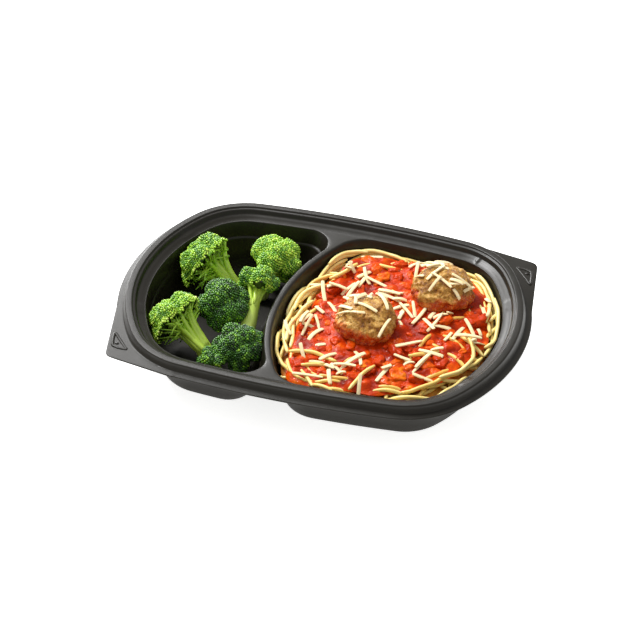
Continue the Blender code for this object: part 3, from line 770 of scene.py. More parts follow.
def stemShapes(name, axis, lumps, earlier):
    # stalk, a branch to each lump, and twigs from the branch to the lump's inner side
    _, radius, _, apex, stalkEnd, thick, thin = florets[name]
    apex, stalkEnd, s = np.array(apex), np.array(stalkEnd), broccoliSet
    rng = np.random.default_rng(77 + floretOrder.index(name))
    shapes = []
    along = np.linspace(0, 1, 14)
    stalk = (apex + 2.5 * axis)[None] * (1 - along[:, None]) + stalkEnd * along[:, None]
    stalk += 0.5 * np.sin(along * 5 + rng.uniform(0, 6))[:, None] * np.cross(axis, [0.2, 0.4, 0.9])
    widths = thick + (thin - thick) * along + 0.6 * np.exp(-(along / 0.12) ** 2)
    shapes.append(tubeShape(stalk, roundEnds(widths, 0.8), 18, np.linspace(0.80, 0.98, 14)))
    t = np.linspace(0, 1, 12)[:, None]
    for middle, size, heading in lumps:
        for _ in range(s["branches"]):
            around = heading - (heading @ axis) * axis + 0.35 * rng.normal(size=3)
            foot = apex + 0.5 * thick * around - rng.uniform(0.0, 2.5) * axis
            end = middle + size * (0.45 * rng.normal(size=3) - 0.3 * heading)
            bend = foot + 0.5 * (end - foot) @ axis * axis + 0.25 * (end - foot)
            path = parabola(foot, bend, end, t)
            width = np.interp(t[:, 0], [0, 0.5, 1], s["branchRadii"]) * radius / s["stemScale"]
            shapes.append(tubeShape(path, roundEnds(width), 9, np.interp(t[:, 0], [0, 1], [0.84, 0.58])))
            for twig in range(s["twigs"]):
                start = path[6 + twig]
                spread = heading * 0.25 + rng.normal(size=3) * 0.75
                tip = middle + size * 0.95 * spread / np.linalg.norm(spread)
                way = start + (tip - start) * np.linspace(0, 1, 6)[:, None]
                way += 0.6 * np.sin(np.linspace(0, np.pi, 6))[:, None] * axis
                widths = roundEnds(np.linspace(*s["twigRadii"], 6))
                shapes.append(tubeShape(way, widths, 6, np.linspace(0.70, 0.48, 6)))
    kept = []
    for points, faces, value in shapes:
        if not insideBalls(points, earlier, -1.5).mean() > 0.55:
            kept.append((keepInBay(points, s["wallGap"]), faces, value))
    return kept


def makeBroccoli():
    earlier = []
    for name in floretOrder:
        axis, lumps = floretLumps(name)
        shapes = crownShapes(name, axis, lumps, earlier) + stemShapes(name, axis, lumps, earlier)
        addPiece(name.replace("broccoli", "floret"), joinShapes(shapes), cookedBroccoli, [name])
        earlier += [(middle, size) for middle, size, _ in lumps]


makeBroccoli()


# Spaghetti: strands are laid one by one on a field of heights, so they cross without cutting

heapSet = dict(edgeHeight=25.0, rise=4.5, lean=0.03, wave=0.5, edgeInset=4.5, coreDrop=4.6,
               edgeDrop=1.6, strandRadius=1.12, sides=8, pointStep=0.8, stiffness=16.0, wallGap=0.4,
               wallHeight=22.0, strands=130, across=40, curlEvery=9, choices=8, tallest=2.6)
# the least and most of each draw in a strand's plan; lengths in mm, turns in radians
planSet = dict(halfLength=(30, 62), aside=(-46, 46), swing=(4, 13), waves=(1.5, 3.5),
               halfTurn=(0.3, 0.85), band=17.0, inBand=(-0.05, 1.1), bandSwing=(0.1, 0.4),
               bandWaves=(0.6, 2.4), curlSize=(6, 12), curlTurn=(1.1, 2.0), curlStretch=(1.0, 1.7),
               curlGap=(2.5, 7), curlHeight=26.0)
strandRadius = heapSet["strandRadius"]
fieldStep = 0.7
fieldX = np.arange(-36, 106, fieldStep)
fieldY = np.arange(-74, 74, fieldStep)
fieldGrid = np.meshgrid(fieldX, fieldY, indexing="ij")
# the wall's distance from the middle, at the edge and where it stands 6 mm further in
angleTable = np.linspace(0, 2 * np.pi, 1441)
tableInset = 6.0
edgeTable = bayReach(rightBay, 0.0, angleTable)
deeperTable = bayReach(rightBay, tableInset, angleTable)


def polar(x, y):
    offset = np.stack([x, y], -1) - rightBay["middle"]
    return np.arctan2(offset[..., 1], offset[..., 0]) % (2 * np.pi), np.hypot(offset[..., 0], offset[..., 1])


def fromPolar(angle, reach):
    return rightBay["middle"] + np.asarray(reach)[..., None] * headings(angle)


def rightWall(angle, height):
    # distance from the right bay's middle to its wall at a height
    angle = angle % (2 * np.pi)
    edge = np.interp(angle, angleTable, edgeTable)
    return edge + (np.interp(angle, angleTable, deeperTable) - edge) * wallInset(height) / tableInset


def partOut(x, y):
    # 0 in the right bay's middle, 1 at its edge
    angle, distance = polar(x, y)
    return distance / np.interp(angle, angleTable, edgeTable)


def heapHeight(x, y):
    # a low dome with two slow waves, as in the solid
    s = heapSet
    dome = s["edgeHeight"] + s["rise"] * (1 - partOut(x, y)**2) + s["lean"] * (x - rightBay["middle"][0])
    return dome + s["wave"] * np.sin(x / 17.0) * np.cos(y / 14.0)


def coreHeight(x, y):
    # the heap's inner body, lower near the wall, where most strands lie
    s = heapSet
    return heapHeight(x, y) - s["coreDrop"] - s["edgeDrop"] * smoothRise(partOut(x, y), 0.55, 0.9)


def sauceEdge(angles):
    # how far the sauce reaches: almost to the wall, less at the left and the front right
    part = 0.94 + 0.04 * np.cos(angles - 0.23) + 0.046 * np.cos(2 * angles - 2.41) + 0.03 * np.cos(3 * angles)
    part = np.minimum(part, 0.975) + 0.014 * np.sin(9 * angles + 2.0) + 0.010 * np.sin(17 * angles + 1.1)
    edge = np.interp(angles % (2 * np.pi), angleTable, edgeTable)
    return (edge - heapSet["edgeInset"]) * part - 0.6


def readField(field, x, y):
    # bilinear reading of a field of heights
    u = np.clip((x - fieldX[0]) / fieldStep, 0, len(fieldX) - 1.001)
    v = np.clip((y - fieldY[0]) / fieldStep, 0, len(fieldY) - 1.001)
    i, j = u.astype(int), v.astype(int)
    a, b = u - i, v - j
    return (field[i, j] * (1 - a) * (1 - b) + field[i + 1, j] * a * (1 - b)
            + field[i, j + 1] * (1 - a) * b + field[i + 1, j + 1] * a * b)


def nearestCells(points):
    # the field's row and column nearest to each point
    return (np.round((points[:, 0] - fieldX[0]) / fieldStep).astype(int),
            np.round((points[:, 1] - fieldY[0]) / fieldStep).astype(int))


def raiseField(field, path, radius):
    # the field is raised to the top of a round strand wherever the strand covers it
    reach = int(np.ceil(radius / fieldStep))
    i, j = nearestCells(path)
    for di in range(-reach, reach + 1):
        for dj in range(-reach, reach + 1):
            ci, cj = np.clip(i + di, 0, len(fieldX) - 1), np.clip(j + dj, 0, len(fieldY) - 1)
            square = (fieldX[ci] - path[:, 0]) ** 2 + (fieldY[cj] - path[:, 1]) ** 2
            top = path[:, 2] + np.sqrt(np.maximum(radius**2 - square, 0))
            on = square < radius**2
            np.maximum.at(field, (ci[on], cj[on]), top[on])


def evenPath(path, step):
    length = np.concatenate([[0], np.cumsum(np.linalg.norm(np.diff(path, axis=0), axis=1))])
    fine = np.linspace(0, length[-1], max(int(length[-1] / step), 6))
    return np.stack([np.interp(fine, length, path[:, k]) for k in range(path.shape[1])], 1), fine


def restOn(field, flat, radius, stiffness):
    # the strand lies on what is under it; between supports it hangs in a parabola
    flat, length = evenPath(flat, heapSet["pointStep"])
    ahead = np.gradient(flat, axis=0)
    side = np.stack([-ahead[:, 1], ahead[:, 0]], 1) / np.linalg.norm(ahead, axis=1)[:, None]
    support = np.max([readField(field, *(flat + side * radius * t).T) for t in (-0.75, 0, 0.75)], axis=0)
    hung = (support[None] - (length[:, None] - length[None]) ** 2 / (2 * stiffness)).max(axis=1)
    padded = np.concatenate([np.full(3, hung[0]), hung, np.full(3, hung[-1])])
    height = np.convolve(padded, np.array([1, 2, 3, 4, 3, 2, 1]) / 16, "valid") + radius
    return np.column_stack([flat, height])


def strandPlan(kind, rng):
    # plan of one strand: across the heap, along its edge, or a curl near the edge
    s = planSet
    t = np.linspace(-1, 1, 90)[:, None]
    around = rng.uniform(0, 2 * np.pi)
    if kind == "across":
        ahead, side = turnMatrix(around, 2).T
        aside, swing = rng.uniform(*s["aside"]), rng.uniform(*s["swing"])
        bend = aside + swing * np.sin(t * rng.uniform(*s["waves"]) + rng.uniform(0, 6))
        return rightBay["middle"] + t * rng.uniform(*s["halfLength"]) * ahead + bend * side
    if kind == "along":
        turn = around + t[:, 0] * rng.uniform(*s["halfTurn"])
        wall = rightWall(turn, heapSet["wallHeight"]) - heapSet["wallGap"] - strandRadius - 0.05
        middle, swing, phase = rng.uniform(*s["inBand"]), rng.uniform(*s["bandSwing"]), rng.uniform(0, 6)
        wander = middle + swing * np.sin(phase + t[:, 0] * rng.uniform(*s["bandWaves"]))
        return fromPolar(turn, wall - s["band"] * (1 - np.clip(wander, 0, 1)))
    size = rng.uniform(*s["curlSize"])
    turn = rng.uniform(0, 6.28) + t[:, 0] * rng.uniform(*s["curlTurn"])
    ring = np.stack([np.cos(turn) * size, np.sin(turn) * size * rng.uniform(*s["curlStretch"])], 1)
    reach = rightWall(np.array([around]), s["curlHeight"]) - size - rng.uniform(*s["curlGap"])
    return fromPolar(np.array([around]), reach) + ring @ turnMatrix(around, 2).T


def keepInHeap(flat, height):
    # the wall leans in further down, so the room depends on the height
    angle, distance = polar(flat[:, 0], flat[:, 1])
    limit = rightWall(angle, height - strandRadius) - heapSet["wallGap"] - strandRadius
    return fromPolar(angle, np.minimum(distance, limit))


def longestInside(flat):
    # the longest stretch of a strand that stays within the wall
    angle, distance = polar(flat[:, 0], flat[:, 1])
    outside = distance > rightWall(angle, heapSet["wallHeight"]) - heapSet["wallGap"] - strandRadius
    cuts = np.concatenate([[-1], np.nonzero(outside)[0], [len(flat)]])
    widest = np.argmax(np.diff(cuts))
    return flat[cuts[widest] + 1:cuts[widest + 1]]


pasta = Paint("cookedSpaghetti", {"Subsurface Weight": 0.18, "Subsurface Radius": (1.6, 1.0, 0.4),
                                  "Subsurface Scale": 0.0012, "Specular IOR Level": 0.5})
pastaTone = pasta.attribute("tone") + (pasta.noise(5.0, 3.0) - 0.5) * 0.5
pastaSkin = pasta.noise(0.8, 3.0, 0.6)
cookedSpaghetti = pasta.feed({
    "Base Color": pasta.ramp(pastaTone, [
        (0.0, shade(196, 106, 28)), (0.25, shade(226, 178, 80)), (0.5, shade(238, 205, 110)),
        (0.75, shade(245, 220, 136)), (1.0, shade(249, 230, 160))]),
    "Roughness": 0.30 + pastaSkin * 0.2,
    "Normal": pasta.bump(pastaSkin, 0.05)})


def strandShape(path, tone, rng):
    # every second point is enough for the tube, which keeps its last point
    coarse = path[np.unique(np.append(np.arange(0, len(path), 2), len(path) - 1))]
    radii = roundEnds(np.full(len(coarse), strandRadius * rng.uniform(0.94, 1.04)))
    angle, distance = polar(coarse[:, 0], coarse[:, 1])
    stain = smoothRise(sauceEdge(angle) - distance, -4, 6)  # sauce has run onto the strands near it
    return tubeShape(coarse, radii, heapSet["sides"], tone - 0.30 * stain)


def makeSpaghetti():
    # a core painted dark, as the shade deep between the strands with some sauce stain, and the strands that
    # are laid over it
    s = heapSet
    field = coreHeight(*fieldGrid)
    angles = bayAngles(rightBay, 120)
    loops = []
    for inset, depth in reversed(wallSection[3:]):
        flat = fromPolar(angles, bayReach(rightBay, inset + 0.8, angles))
        loops.append(atLevel(flat, deckHeight - depth + 0.8))
    for share in np.linspace(1, 0.05, 20):
        flat = fromPolar(angles, (bayReach(rightBay, s["edgeInset"] + 0.6, angles)) * share)
        loops.append(atLevel(flat, coreHeight(*flat.T)))
    corePoints, coreFaces = cappedGrid(np.stack(loops))
    # tone 0.05 is the painted shade of strands deep in the heap, with some sauce stain
    shapes = [(corePoints, coreFaces, 0.05)]
    rng = np.random.default_rng(9)
    for number in range(s["strands"]):
        kind = "across" if number < s["across"] else "curl" if number % s["curlEvery"] == 0 else "along"
        best, lowest = None, s["tallest"]
        for _ in range(s["choices"]):  # of several plans, the one that fills the lowest place
            flat = longestInside(strandPlan(kind, rng))
            if len(flat) < 20:
                continue
            path = restOn(field, flat, strandRadius, s["stiffness"])
            over = path[:, 2] - heapHeight(*path[:, :2].T)
            if over.max() < s["tallest"] and over.mean() < lowest:
                best, lowest = path, over.mean()
        if best is None:
            continue
        best[:, :2] = keepInHeap(best[:, :2], best[:, 2])
        raiseField(field, best, strandRadius)
        shapes.append(strandShape(best, rng.uniform(0.5, 0.9), rng))
    highest = (field - heapHeight(*fieldGrid)).max()
    print(len(shapes) - 1, "strands, at most", round(highest, 1), "mm over the heap")
    addPiece("spaghettiHeap", joinShapes(shapes), cookedSpaghetti, ["spaghetti"])
    return field


strandTop = makeSpaghetti()


# Sauce: its own field of heights over the strands, with tomato chunks standing out of it

sauceSet = dict(thickness=2.0, loops=140, points=440, flecks=80, loopSpan=0.985,
                underShare=0.985, underDrop=1.6, lumpSize=9.0, lumpShare=0.6, pulpSize=4.2, pulpHeight=0.34,
                cragSize=9.0, cragHeight=3.0,
                bigChunks=11, bigSizes=(4.8, 7.0), smallChunks=84, smallSizes=(2.2, 5.0))
# the middle and half sizes of each, as in the solids
meatballs = {
    "meatball_front": ((27.5, -8.5, 33.5), (17.6, 17.2, 15.2)),
    "meatball_back": ((59.5, 31.0, 33.0), (17.2, 16.6, 15.0)),
}


def blur(field, times):
    # each height moves halfway to the mean of the four beside it, time after time
    for _ in range(times):
        padded = np.pad(field, 1, mode="edge")
        field = (4 * field + padded[:-2, 1:-1] + padded[2:, 1:-1] + padded[1:-1, :-2] + padded[1:-1, 2:]) / 8
    return field


def scatterPlaces(count, seed, spread, clear, margin=7.5):
    # places over the sauce, apart from each other and from the meatballs
    rng = np.random.default_rng(seed)
    places = []
    for _ in range(count * 60):
        angle = rng.uniform(0, 2 * np.pi)
        reach = (sauceEdge(np.array([angle]))[0] - margin) * np.sqrt(rng.uniform(0.0, 1.0))
        place = rightBay["middle"] + reach * headings(angle)
        far = all(np.hypot(*(place - other)) > spread for other in places)
        off = all(np.hypot(*(place - np.array(at[:2]))) > half[0] + clear for at, half in meatballs.values())
        if far and off:
            places.append(place)
        if len(places) == count:
            break
    return np.array(places)


def sauceField():
    # lumps of tomato pulp on a layer that thins out to the edge and follows the strands there
    angle, distance = polar(*fieldGrid)
    inside = sauceEdge(angle) - distance
    flat = np.stack([*fieldGrid, np.zeros(inside.shape)], 2).reshape(-1, 3)
    lumps = layeredNoise(flat, sauceSet["lumpSize"], 5, 2).reshape(inside.shape)
    body = sauceSet["thickness"] * smoothRise(inside, -1.0, 6.0) * (1 + sauceSet["lumpShare"] * lumps)
    base = np.maximum(blur(strandTop, 40) - 0.8, heapHeight(*fieldGrid) - 0.2)
    return blur(base, 10) + body, inside


wet = Paint("tomatoSauce", {"Specular IOR Level": 0.08, "Coat Roughness": 0.06, "Coat Weight": 0.11,
                            "Coat IOR": 1.4, "Subsurface Weight": 0.06,
                            "Subsurface Radius": (1.6, 0.35, 0.08), "Subsurface Scale": 0.0012})
wetTone = wet.attribute("tone") + (wet.noise(3.4, 3.0, 0.55) - 0.5) * 0.55
pulp = wet.noise(1.3, 4.0, 0.62)
tomatoSauce = wet.feed({
    "Base Color": wet.ramp(wetTone, [
        (0.0, shade(104, 16, 0)), (0.3, shade(154, 34, 0)), (0.55, shade(192, 54, 2)),
        (0.8, shade(216, 84, 6)), (1.0, shade(234, 138, 26))]),
    "Roughness": 0.22 + pulp * 0.25,
    "Normal": wet.bump(pulp * 0.4 + wet.noise(3.6, 2.0) * 1.6, 0.6)})

herb = Paint("driedHerb", {"Roughness": 0.7})
driedHerb = herb.feed({"Base Color": herb.mix(shade(46, 44, 16), shade(84, 60, 26), herb.noise(1.0))})


def chunkShape(place, halfSizes, turn, seed):
    # a rounded block: a ball squared off by a root of its directions, made uneven by noise
    ball = sphereGrid(16, 24).reshape(-1, 3)
    ball = np.sign(ball) * np.abs(ball) ** 0.62
    ball *= (0.92 + 0.24 * layeredNoise(ball * 4 + seed * 9.1, 2.2, seed, 3))[:, None]
    return cappedGrid((place + (ball * halfSizes) @ turnMatrix(turn).T).reshape(16, 24, 3))


def makeSauce():
    # a sheet of loops from under the edge to the middle, roughened by pulp, with chunks in it
    s = sauceSet
    field, inside = sauceField()
    angles = turns(s["points"])
    edge = sauceEdge(angles)
    under = fromPolar(angles, edge * s["underShare"])
    loops = [atLevel(under, readField(field, *under.T) - s["underDrop"])]
    for share in 1 - np.linspace(0, 1, s["loops"]) ** 1.1 * s["loopSpan"]:
        flat = fromPolar(angles, edge * share)
        loops.append(atLevel(flat, readField(field, *flat.T)))
    points, faces = cappedGrid(np.stack(loops))
    pulpRelief = s["pulpHeight"] * layeredNoise(points, s["pulpSize"], 63, 2)
    pulpRelief = pulpRelief + s["cragHeight"] * np.maximum(0.52 - pits(points, s["cragSize"], 64), 0)
    fromEdge = readField(inside, *points[:, :2].T)
    points[:, 2] += pulpRelief * smoothRise(fromEdge, -0.5, 1.5)
    # tone rises with the pulp's height: partly the pulp's own orange, partly painted shade in the hollows
    # between lumps
    tone = 0.34 + 0.22 * layeredNoise(points, 12.0, 61, 3) + 0.28 * pulpRelief
    tone += 0.22 * (1 - smoothRise(fromEdge, 0.5, 6.0))
    shapes = [(points, faces, tone)]
    rng = np.random.default_rng(21)
    big = scatterPlaces(s["bigChunks"], 5, 13.0, 5.0)
    small = scatterPlaces(s["smallChunks"], 15, 5.6, 0.0, 4.5)
    for number, (x, y) in enumerate(np.concatenate([big, small])):
        size = rng.uniform(*(s["bigSizes"] if number < len(big) else s["smallSizes"]))
        halfSizes = np.array([1.0, rng.uniform(0.6, 0.9), rng.uniform(0.45, 0.62)]) * size
        height = readField(field, np.array([x]), np.array([y]))[0] + halfSizes[2] * rng.uniform(-0.5, -0.05)
        turn = rng.uniform(0, np.pi)
        points, faces = chunkShape(np.array([x, y, height]), halfSizes, turn, number)
        shapes.append((points, faces, rng.uniform(0.42, 0.85)))
        gap = np.hypot(fieldX[:, None] - x, fieldY[None] - y) / (0.85 * size)
        bulge = height + halfSizes[2] * np.sqrt(np.maximum(1 - gap**2, 0))
        field = np.where(gap < 1, np.maximum(field, bulge), field)
    addPiece("marinaraSauce", joinShapes(shapes), tomatoSauce, ["marinara"])
    return field, inside


sauceTop, sauceInside = makeSauce()


# ends of strands that come out over the sauce, as they lie in the photo
looseStrands = [
    [(-8, -41), (4, -38), (20, -42)], [(2, -50), (10, -46), (18, -46)], [(3, -53), (7, -57), (13, -64)],
    [(33, -62), (36, -51), (42, -42)], [(58, -30), (66, -24), (73, -21)], [(-6, 30), (2, 36), (6, 45)],
    [(82, 0), (90, -9), (93, -19), (89, -33), (79, -42)], [(95, -6), (100, 2), (101, 13), (98, 29), (90, 43)],
    [(-17, -2), (-18, 13), (-13, 20), (-5, 21)], [(-11, 45), (-8, 56), (-2, 62), (7, 63)],
    [(-13, -30), (-16, -18), (-14, -4), (-9, 8)]]


def makeLooseStrands():
    rng = np.random.default_rng(12)
    top = np.maximum(np.where(sauceInside > 0, sauceTop, strandTop), strandTop)
    shapes = []
    for corners in looseStrands:
        corners = np.array(corners, float)
        t = np.linspace(0, len(corners) - 1, 60)
        flat = np.stack([np.interp(t, np.arange(len(corners)), corners[:, k]) for k in (0, 1)], 1)
        for _ in range(120):  # smoothed between fixed ends
            flat[1:-1] = (flat[:-2] + 2 * flat[1:-1] + flat[2:]) / 4
        path = restOn(top, keepInHeap(flat, 26.0), strandRadius, heapSet["stiffness"])
        path[:, 2] -= 0.9 * np.sin(np.linspace(0, np.pi, len(path))) ** 0.5 * rng.uniform(0.4, 1.2)
        raiseField(top, path, strandRadius)
        shapes.append(strandShape(path, 0.85, rng))
    addPiece("looseSpaghetti", joinShapes(shapes), cookedSpaghetti)
    return top


mealTop = makeLooseStrands()


# Meatballs: rough browned tops, with sauce running up their lower sides

# lumps, crags and pores are shares of the meatball's size, each spaced by its own size in mm
meatSet = dict(rows=130, columns=230, lumps=0.09, lumpSize=11.0, crags=0.075, cragSize=4.4,
               pores=0.08, poreSize=3.4, poreReach=0.34, flatTop=0.95, pressed=0.8)
meat = Paint("brownedMeatball", {"Specular IOR Level": 0.32, "Coat Roughness": 0.12})
sauced = meat.attribute("sauced")
meatMottle = meat.noise(4.6, 5.0, 0.62)
meatGrain = meat.noise(0.9, 4.0, 0.65)
meatPores = meat.cells(1.9)
# the colour rises with the same noise that raises the bump: raised lumps are painted lighter as their
# highlight and hollows darker as their shade, over the real mottle of the browning and of the sauce
meatColour = meat.ramp(meatMottle * 0.75 + meatGrain * 0.25, [
    (0.36, shade(108, 60, 12)), (0.45, shade(160, 106, 36)),
    (0.54, shade(194, 144, 62)), (0.64, shade(234, 192, 114))])
# the pores are painted darker as the shade in them
meatColour = meat.mix(meatColour, shade(84, 46, 20), meat.step(meatPores, 0.22, 0.05) * 0.7)
meatColour = meat.mix(meatColour, meat.ramp(meatMottle, [
    (0.36, shade(154, 40, 8)), (0.5, shade(200, 82, 22)), (0.64, shade(222, 136, 56))]), sauced)
brownedMeatball = meat.feed({
    "Base Color": meatColour,
    "Roughness": 0.36 - sauced * 0.14 + (meatGrain - 0.5) * 0.25,
    "Coat Weight": 0.05 + sauced * 0.35,
    "Normal": meat.bump(meatMottle * 1.2 + meatGrain * 0.8 + meatPores * 0.5, 0.8)})


def makeMeatballs():
    # the field of heights is raised to the meatballs' tops, for the cheese to lie on
    top = mealTop.copy()
    s = meatSet
    for number, (name, (centre, halfSizes)) in enumerate(meatballs.items()):
        centre, halfSizes = np.array(centre), np.array(halfSizes)
        ball = sphereGrid(s["rows"], s["columns"]).reshape(-1, 3)
        place = ball * halfSizes + 50.0 * number
        swell = s["lumps"] * layeredNoise(place, s["lumpSize"], 31 + number, 2)
        crags = s["crags"] * layeredNoise(place, s["cragSize"], 41 + number, 3)
        near = np.maximum(s["poreReach"] - pits(place, s["poreSize"], 51 + number), 0)
        pore = s["pores"] * near / s["poreReach"]
        grown = ball * (1 + swell + crags - pore - 0.01)[:, None] * halfSizes
        points, faces = cappedGrid((centre + grown).reshape(s["rows"], s["columns"], 3))
        over = points[:, 2] - centre[2] - s["flatTop"] * halfSizes[2]
        points[:, 2] -= s["pressed"] * np.maximum(over, 0)
        np.maximum.at(top, nearestCells(points), points[:, 2])
        front = (centre[1] - points[:, 1]) / halfSizes[1]
        line = centre[2] - 1.0 + 5.0 * np.maximum(front, 0) + 4.0 * layeredNoise(points, 8.0, 71 + number, 3)
        value = 1 - smoothRise(points[:, 2] - line, -1.5, 2.2)
        addPiece(name.replace("_", "-"), (points, faces, value), brownedMeatball,
                 [name], "sauced")
    return top


wholeTop = makeMeatballs()


# Cheese: straight shreds dropped one by one; each rests on the two highest points under it

cheeseSet = dict(count=108, tries=500, lengths=(4.5, 17.5), width=(1.6, 2.4), thickness=(0.7, 1.0),
                 bend=0.035, squareness=0.35, twist=(0.12, 0.15), mostDroop=1.4,
                 reach=0.95, gathered=0.66, spread=5.5, tallest=2.6, clear=3.0, steepest=0.9)
# where the shreds lie thickest: on and between the meatballs, and in loose heaps on the sauce
cheeseHeaps = [(22, -2), (33, -11), (27, -9), (7, 26), (14, 34), (37, 21), (48, 6), (58, 4), (62, 26),
               (56, 34), (69, 24), (83, 6), (86, 30), (-4, -12), (6, -12), (22, -47), (45, -47),
               (67, -37), (45, 56)]
creamy = Paint("shreddedCheese", {"Subsurface Weight": 0.22, "Subsurface Radius": (1.4, 1.1, 0.7),
                                  "Subsurface Scale": 0.001, "Specular IOR Level": 0.4})
curd = creamy.noise(2.4, 3.0, 0.6)
shreddedCheese = creamy.feed({
    "Base Color": creamy.mix(shade(228, 204, 152), shade(243, 226, 184), curd),
    "Roughness": 0.46 + curd * 0.18,
    "Normal": creamy.bump(creamy.noise(0.8, 3.0), 0.08)})


def shredShape(middle, ahead, droop, width, thickness, length, rng):
    # a rounded strip: a squared-off loop carried along a line with a slight bend and twist;
    # its free ends droop with the square of the distance from the middle
    t = np.array([-1, -0.95, -0.7, -0.35, 0, 0.35, 0.7, 0.95, 1])
    side = np.cross([0, 0, 1.0], ahead)
    side /= np.linalg.norm(side)
    up = np.cross(ahead, side)
    bend = rng.normal(0, cheeseSet["bend"]) * length * (1 - t**2)
    path = middle + t[:, None] * ahead * length / 2 + bend[:, None] * side
    path[:, 2] -= droop * t**2
    loop = headings(turns(12))
    loop = np.sign(loop) * np.abs(loop) ** cheeseSet["squareness"] * np.array([width, thickness]) / 2
    ends = 1 - 0.22 * np.abs(t) ** 14
    twist = rng.normal(0, cheeseSet["twist"][0]) + rng.normal(0, cheeseSet["twist"][1]) * t
    x = loop[None, :, 0] * np.cos(twist)[:, None] - loop[None, :, 1] * np.sin(twist)[:, None]
    y = loop[None, :, 0] * np.sin(twist)[:, None] + loop[None, :, 1] * np.cos(twist)[:, None]
    grid = path[:, None] + ends[:, None, None] * (x[..., None] * side + y[..., None] * up)
    return cappedGrid(grid)


def makeCheese():
    s = cheeseSet
    rng = np.random.default_rng(63)
    top = wholeTop.copy()
    highest = cadBox[1][2] / mm
    shapes = []
    for _ in range(s["tries"]):
        if len(shapes) == s["count"]:
            break
        angle = rng.uniform(0, 2 * np.pi)
        reach = sauceEdge(np.array([angle]))[0] * s["reach"] * np.sqrt(rng.uniform(0, 1))
        place = fromPolar(angle, reach)
        if rng.uniform() < s["gathered"]:
            place = np.array(cheeseHeaps[rng.integers(len(cheeseHeaps))]) + rng.normal(0, s["spread"], 2)
        heading, side = turnMatrix(rng.uniform(0, np.pi), 2).T
        length = rng.uniform(0, 1) ** 0.8 * np.ptp(s["lengths"]) + s["lengths"][0]
        width, thickness = rng.uniform(*s["width"]), rng.uniform(*s["thickness"])
        along = np.linspace(-0.46, 0.46, 12) * length
        line = place + along[:, None] * heading
        under = np.max([readField(top, *(line + w * width * side).T) for w in (-0.3, 0, 0.3)], axis=0)
        low, high = along[:6, None], along[None, 6:]
        middle = (under[:6, None] * high - under[None, 6:] * low) / (high - low)
        i, j = np.unravel_index(middle.argmax(), middle.shape)
        slope = (under[6 + j] - under[i]) / (along[6 + j] - along[i])
        ahead = np.array([*heading, slope])
        ahead /= np.linalg.norm(ahead)
        centre = np.array([*place, middle.max() + 0.42 * thickness])
        ends = centre + np.outer([-0.5, 0.5], ahead) * length
        droop = np.clip(0.6 * (ends[:, 2] - under[[0, -1]]).min(), 0, s["mostDroop"])
        fromMiddle = polar(ends[:, 0], ends[:, 1])
        highPile = centre[2] - readField(wholeTop, *place[:, None])[0] > s["tallest"]
        atWall = (fromMiddle[1] > rightWall(fromMiddle[0], 28.0) - s["clear"]).any()
        overTop = max(centre[2], ends[:, 2].max() - droop) + 0.6 * thickness > highest
        if highPile or atWall or overTop or abs(slope) > s["steepest"]:
            continue
        shapes.append((*shredShape(centre, ahead, droop, width, thickness, length, rng), 0.5))
        share = np.linspace(-1, 1, 40)
        line = centre + share[:, None] * ahead * length / 2
        line[:, 2] -= droop * share**2
        raiseField(top, line, width * 0.5)
    print(len(shapes), "shreds")
    addPiece("cheeseShreds", joinShapes(shapes), shreddedCheese)


def makeFlecks():
    # dried herb on the sauce, lying flat
    rng = np.random.default_rng(88)
    places = scatterPlaces(sauceSet["flecks"], 90, 2.0, -2.0, 3.0)
    heights = readField(sauceTop, *places.T) + 0.1
    shapes = []
    for (x, y), height in zip(places, heights):
        turn, size = rng.uniform(0, np.pi), rng.uniform(0.35, 0.75)
        grain = icoPoints * np.array([size, size * 0.55, 0.28]) @ turnMatrix(turn).T
        shapes.append((np.array([x, y, height]) + grain, [np.zeros((0, 4), int), icoFaces], 0.5))
    addPiece("herbFlecks", joinShapes(shapes), driedHerb)


makeCheese()
makeFlecks()


# Floor, light and camera

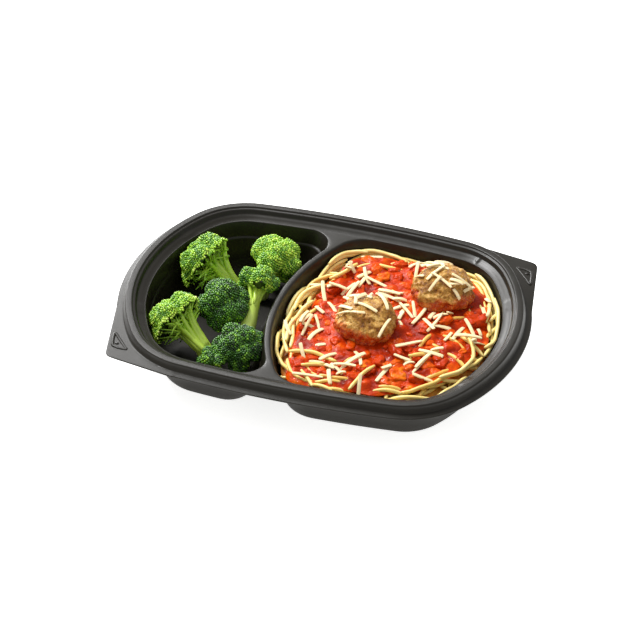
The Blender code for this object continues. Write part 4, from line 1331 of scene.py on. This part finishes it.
# the softbox hangs higher than where the level faces would mirror it, so that it lights the
# rounded edges; the panel, low behind the left end, gives bright lines on edges that face left
lightSet = dict(world=0.62, table=0.84,
                softbox=dict(place=(-0.60, 0.82, 1.08), energy=11.0, size=0.70),
                panel=dict(place=(-0.98, 1.15, 0.42), energy=13.0, size=0.6),
                windowLight=dict(place=(-0.62, 0.30, 0.95), energy=2.7, angle=np.radians(14.0)))
# solved from the rim's outline in the photo, with the focal length in pixels of its width
cameraSet = dict(target=(0.00276, -0.01691, 0.036), away=(0.5784, -1.8854, 1.5481),
                 focalPixels=4500, widthPixels=640, sensorWidth=36.0)


def placeAimed(name, data, place, target=(0, 0, 0)):
    # a light or camera that looks from its place at the target
    made = bpy.data.objects.new(name, data)
    made.location = place
    made.rotation_euler = (Vector(target) - Vector(place)).to_track_quat("-Z", "Y").to_euler()
    bpy.context.scene.collection.objects.link(made)
    return made


def makeFloor():
    bpy.ops.mesh.primitive_plane_add(size=8.0, location=(0, 0, 0))
    floor = bpy.context.object
    floor.name = "paleFloor"
    # a lit white table: a little light of its own keeps the shadow faint
    card = Paint("paleTable", {"Roughness": 0.9, "Specular IOR Level": 0.2,
                               "Emission Strength": lightSet["table"]})
    paleWhite = card.mix(shade(246, 246, 245), shade(250, 250, 249), card.noise(60.0))
    floor.data.materials.append(card.feed({"Base Color": paleWhite, "Emission Color": paleWhite}))


def makeLights():
    world = bpy.data.worlds.new("studio")
    world.use_nodes = True
    world.node_tree.nodes["Background"].inputs[0].default_value = (1.0, 1.0, 1.0, 1.0)
    world.node_tree.nodes["Background"].inputs[1].default_value = lightSet["world"]
    bpy.context.scene.world = world
    for name, kind in (("softbox", "AREA"), ("panel", "AREA"), ("windowLight", "SUN")):
        light = bpy.data.lights.new(name, kind)
        for setting, value in lightSet[name].items():
            if setting != "place":
                setattr(light, setting, value)
        placeAimed(name, light, lightSet[name]["place"])


def makeCamera():
    camera = bpy.data.cameras.new("photoCamera")
    camera.sensor_width = cameraSet["sensorWidth"]
    camera.lens = cameraSet["focalPixels"] / cameraSet["widthPixels"] * cameraSet["sensorWidth"]
    camera.clip_end = 10.0
    target = Vector(cameraSet["target"])
    made = placeAimed("photoCamera", camera, target + Vector(cameraSet["away"]), target)
    bpy.context.scene.camera = made


makeFloor()
makeLights()
makeCamera()
bpy.context.scene.view_settings.view_transform = "Standard"
